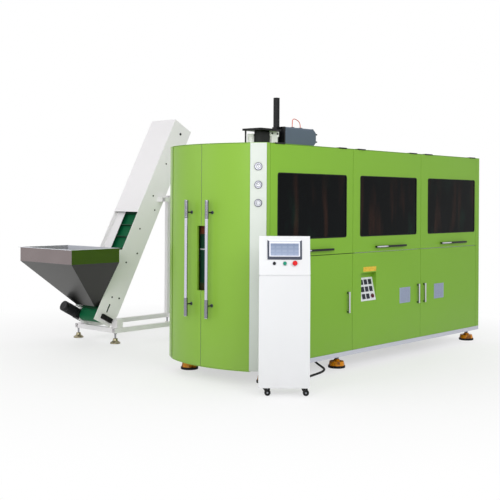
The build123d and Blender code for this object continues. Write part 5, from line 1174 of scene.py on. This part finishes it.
class MOULDER_OT_guard_and_shade_sheets(bpy.types.Operator):
    """Adds the belt's guard sheet, and behind the slot of the end doors a dark sheet of painted
    shade with the parts seen through it
    """

    bl_idname = "moulder.screens"
    bl_label = "Add the guard sheets"

    def execute(self, context):
        guard = slab(slope_at(*GUARD_MIDDLE), SLOPE_ALONG, NORTH, GUARD_HALF, GUARD_THICKNESS)
        piece("belt_guard", [guard], "elevator_coat", "frame_paint", smooth=False)
        for name, x, z, half, thickness, material, slot in SLOT_SHEETS:
            sheet = slab(at(x, END_MIDDLE[1], z), UP, NORTH, half, thickness)
            piece(name, [sheet], material, slot, smooth=False)
        return {"FINISHED"}


def cord_curve(name, points, diameter, material, slot):
    """A cord as a smooth curve that its points pull towards them."""
    curve = bpy.data.curves.new(name, "CURVE")
    curve.dimensions = "3D"
    curve.bevel_depth = diameter / 2 * MM
    curve.bevel_resolution = 5
    curve.resolution_u = 10
    curve.use_fill_caps = True
    spline = curve.splines.new("NURBS")
    spline.points.add(len(points) - 1)
    for point, place in zip(spline.points, points):
        point.co = (*place, 1.0)
    spline.order_u = 3
    spline.use_endpoint_u = True
    curve.materials.append(finish(material))
    return carried(name, curve, "root", slot)


class MOULDER_OT_cords(bpy.types.Operator):
    """Lays the conduit from the console and the servo cable's loop"""

    bl_idname = "moulder.cords"
    bl_label = "Lay the cords"

    def execute(self, context):
        route = [console_at(*point) for point in CONDUIT_START]
        route += [at(*point) for point in CONDUIT_ROUTE]
        conduit = cord_curve("floor_conduit", route, 20, "black_rubber", "conduit_black")
        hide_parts("console_conduit")
        tuple(route[0])
        loop = [at(*point) for point in CABLE_ROUTE]
        cable = cord_curve("servo_loop", loop, 7, "orange_jacket", "cable_orange")
        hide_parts("servo_cable")
        return {"FINISHED"}


class MOULDER_OT_stage(bpy.types.Operator):
    """Sets the pale floor, the lamps and the camera"""

    bl_idname = "moulder.stage"
    bl_label = "Set the stage"

    def execute(self, context):
        scene = context.scene
        scene.view_settings.view_transform = "Standard"
        self.world(scene)
        self.floor()
        self.lamp("key", KEY_PLACE, KEY_TARGET, KEY_SIZE, scene.moulder_sizes.exposure_key)
        for name, settings in LAMPS.items():
            self.lamp(name, *settings)
        self.camera(scene)
        return {"FINISHED"}

    def world(self, scene):
        """A white world for the camera and in reflections, plainer for the light that it sheds."""
        scene.world = bpy.data.worlds.new("pale_world")
        scene.world.use_nodes = True
        nodes = Nodes(scene.world.node_tree)
        background = nodes.find("BACKGROUND")
        nodes.feed(background.inputs["Color"], (1, 1, 1))
        level = nodes.add("ShaderNodeMapRange", {}, {"Value": nodes.seen(), "To Min": WORLD_LIGHT})
        nodes.feed(background.inputs["Strength"], level)

    def floor(self):
        """A plain pale disc, shown paler to the camera and in reflections."""
        count = 96
        angle = np.linspace(0, 2 * math.pi, count, endpoint=False)
        circle = np.stack([np.cos(angle), np.sin(angle), angle * 0], 1)
        centre = at(*FLOOR_CENTRE)
        rings = [circle * radius + centre for radius in FLOOR_RINGS]
        points = np.concatenate([centre[None], *rings])
        faces = [(0, 1 + column, 1 + (column + 1) % count) for column in range(count)]
        faces += grid_faces(len(FLOOR_RINGS), count, start=1)
        mesh = bpy.data.meshes.new("floor")
        mesh.from_pydata(points.tolist(), [], faces)
        paint = Paint("floor_paint", Roughness=0.75, Specular_IOR_Level=0.2)
        paint.put("Base Color", linear(243, 243, 244))
        ends = {0: paint.here(), 1: tuple(centre)}
        away = paint.add("ShaderNodeVectorMath", {"operation": "DISTANCE"}, ends, "Value")
        lift = paint.seen() * (paint.between(away, 2.0, 4.6) * 0.42 + 0.58)
        white = paint.add("ShaderNodeEmission", {}, {"Color": (1.0, 1.0, 1.0), "Strength": 1.0})
        blend = {0: lift, 1: Value(paint, paint.shader.outputs[0]), 2: white}
        output = paint.find("OUTPUT_MATERIAL")
        paint.feed(output.inputs["Surface"], paint.add("ShaderNodeMixShader", {}, blend))
        mesh.materials.append(paint.material)
        outward(placed("floor", mesh))

    def lamp(self, name, place, target, size, power, spread=180.0):
        """A soft square lamp that faces a point, with its spread in degrees."""
        light = bpy.data.lights.new(name, "AREA")
        light.size = size
        light.energy = power
        light.spread = math.radians(spread)
        lamp = placed(name, light)
        lamp.location = place
        lamp.rotation_euler = (Vector(target) - Vector(place)).to_track_quat("-Z", "Y").to_euler()

    def camera(self, scene):
        """The photograph's camera: level, with the horizon above the middle of the frame."""
        lens = bpy.data.cameras.new("camera")
        lens.sensor_width = 36.0
        lens.lens = CAMERA_LENS
        lens.shift_y = CAMERA_SHIFT
        lens.clip_end = 100.0
        camera = placed("camera", lens)
        heading = Matrix.Rotation(CAMERA_HEADING, 4, "Z")
        level = Matrix.Rotation(math.radians(90.0), 4, "X")
        turn = heading @ level @ Matrix.Rotation(CAMERA_ROLL, 4, "Z")
        camera.matrix_world = Matrix.Translation(Vector(at(*CAMERA_PLACE))) @ turn
        scene.camera = camera


OPERATORS = (
    MOULDER_OT_finishes,
    MOULDER_OT_dress_cabinet, MOULDER_OT_dress_stretch,
    MOULDER_OT_dress_console, MOULDER_OT_dress_elevator,
    MOULDER_OT_gaskets, MOULDER_OT_gauge_faces, MOULDER_OT_console_details,
    MOULDER_OT_wheel_hubs, MOULDER_OT_fasteners, MOULDER_OT_motor_fins,
    MOULDER_OT_handle_ends, MOULDER_OT_bar_highlights, MOULDER_OT_roses,
    MOULDER_OT_seam_strip, MOULDER_OT_guard_and_shade_sheets, MOULDER_OT_cords,
    MOULDER_OT_stage,
)


class MOULDER_PT_panel(bpy.types.Panel):
    """Lists the steps and the settings"""

    bl_idname = "MOULDER_PT_panel"
    bl_label = "Moulder"
    bl_space_type = "VIEW_3D"
    bl_region_type = "UI"
    bl_category = "Moulder"

    def draw(self, context):
        for operator in OPERATORS:
            self.layout.operator(operator.bl_idname)
        for group in (context.scene.moulder_colours, context.scene.moulder_sizes):
            for key in group.bl_rna.properties.keys():
                if key not in ("rna_type", "name"):
                    self.layout.prop(group, key)


CLASSES = (MoulderColours, MoulderSizes, *OPERATORS, MOULDER_PT_panel)


def register():
    for cls in CLASSES:
        bpy.utils.register_class(cls)
    bpy.types.Scene.moulder_colours = bpy.props.PointerProperty(type=MoulderColours)
    bpy.types.Scene.moulder_sizes = bpy.props.PointerProperty(type=MoulderSizes)


def unregister():
    del bpy.types.Scene.moulder_colours
    del bpy.types.Scene.moulder_sizes
    for cls in reversed(CLASSES):
        bpy.utils.unregister_class(cls)


def main():
    register()
    for operator in OPERATORS:
        group, name = operator.bl_idname.split(".")
        getattr(getattr(bpy.ops, group), name)()
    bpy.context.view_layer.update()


if __name__ == "__main__":
    main()
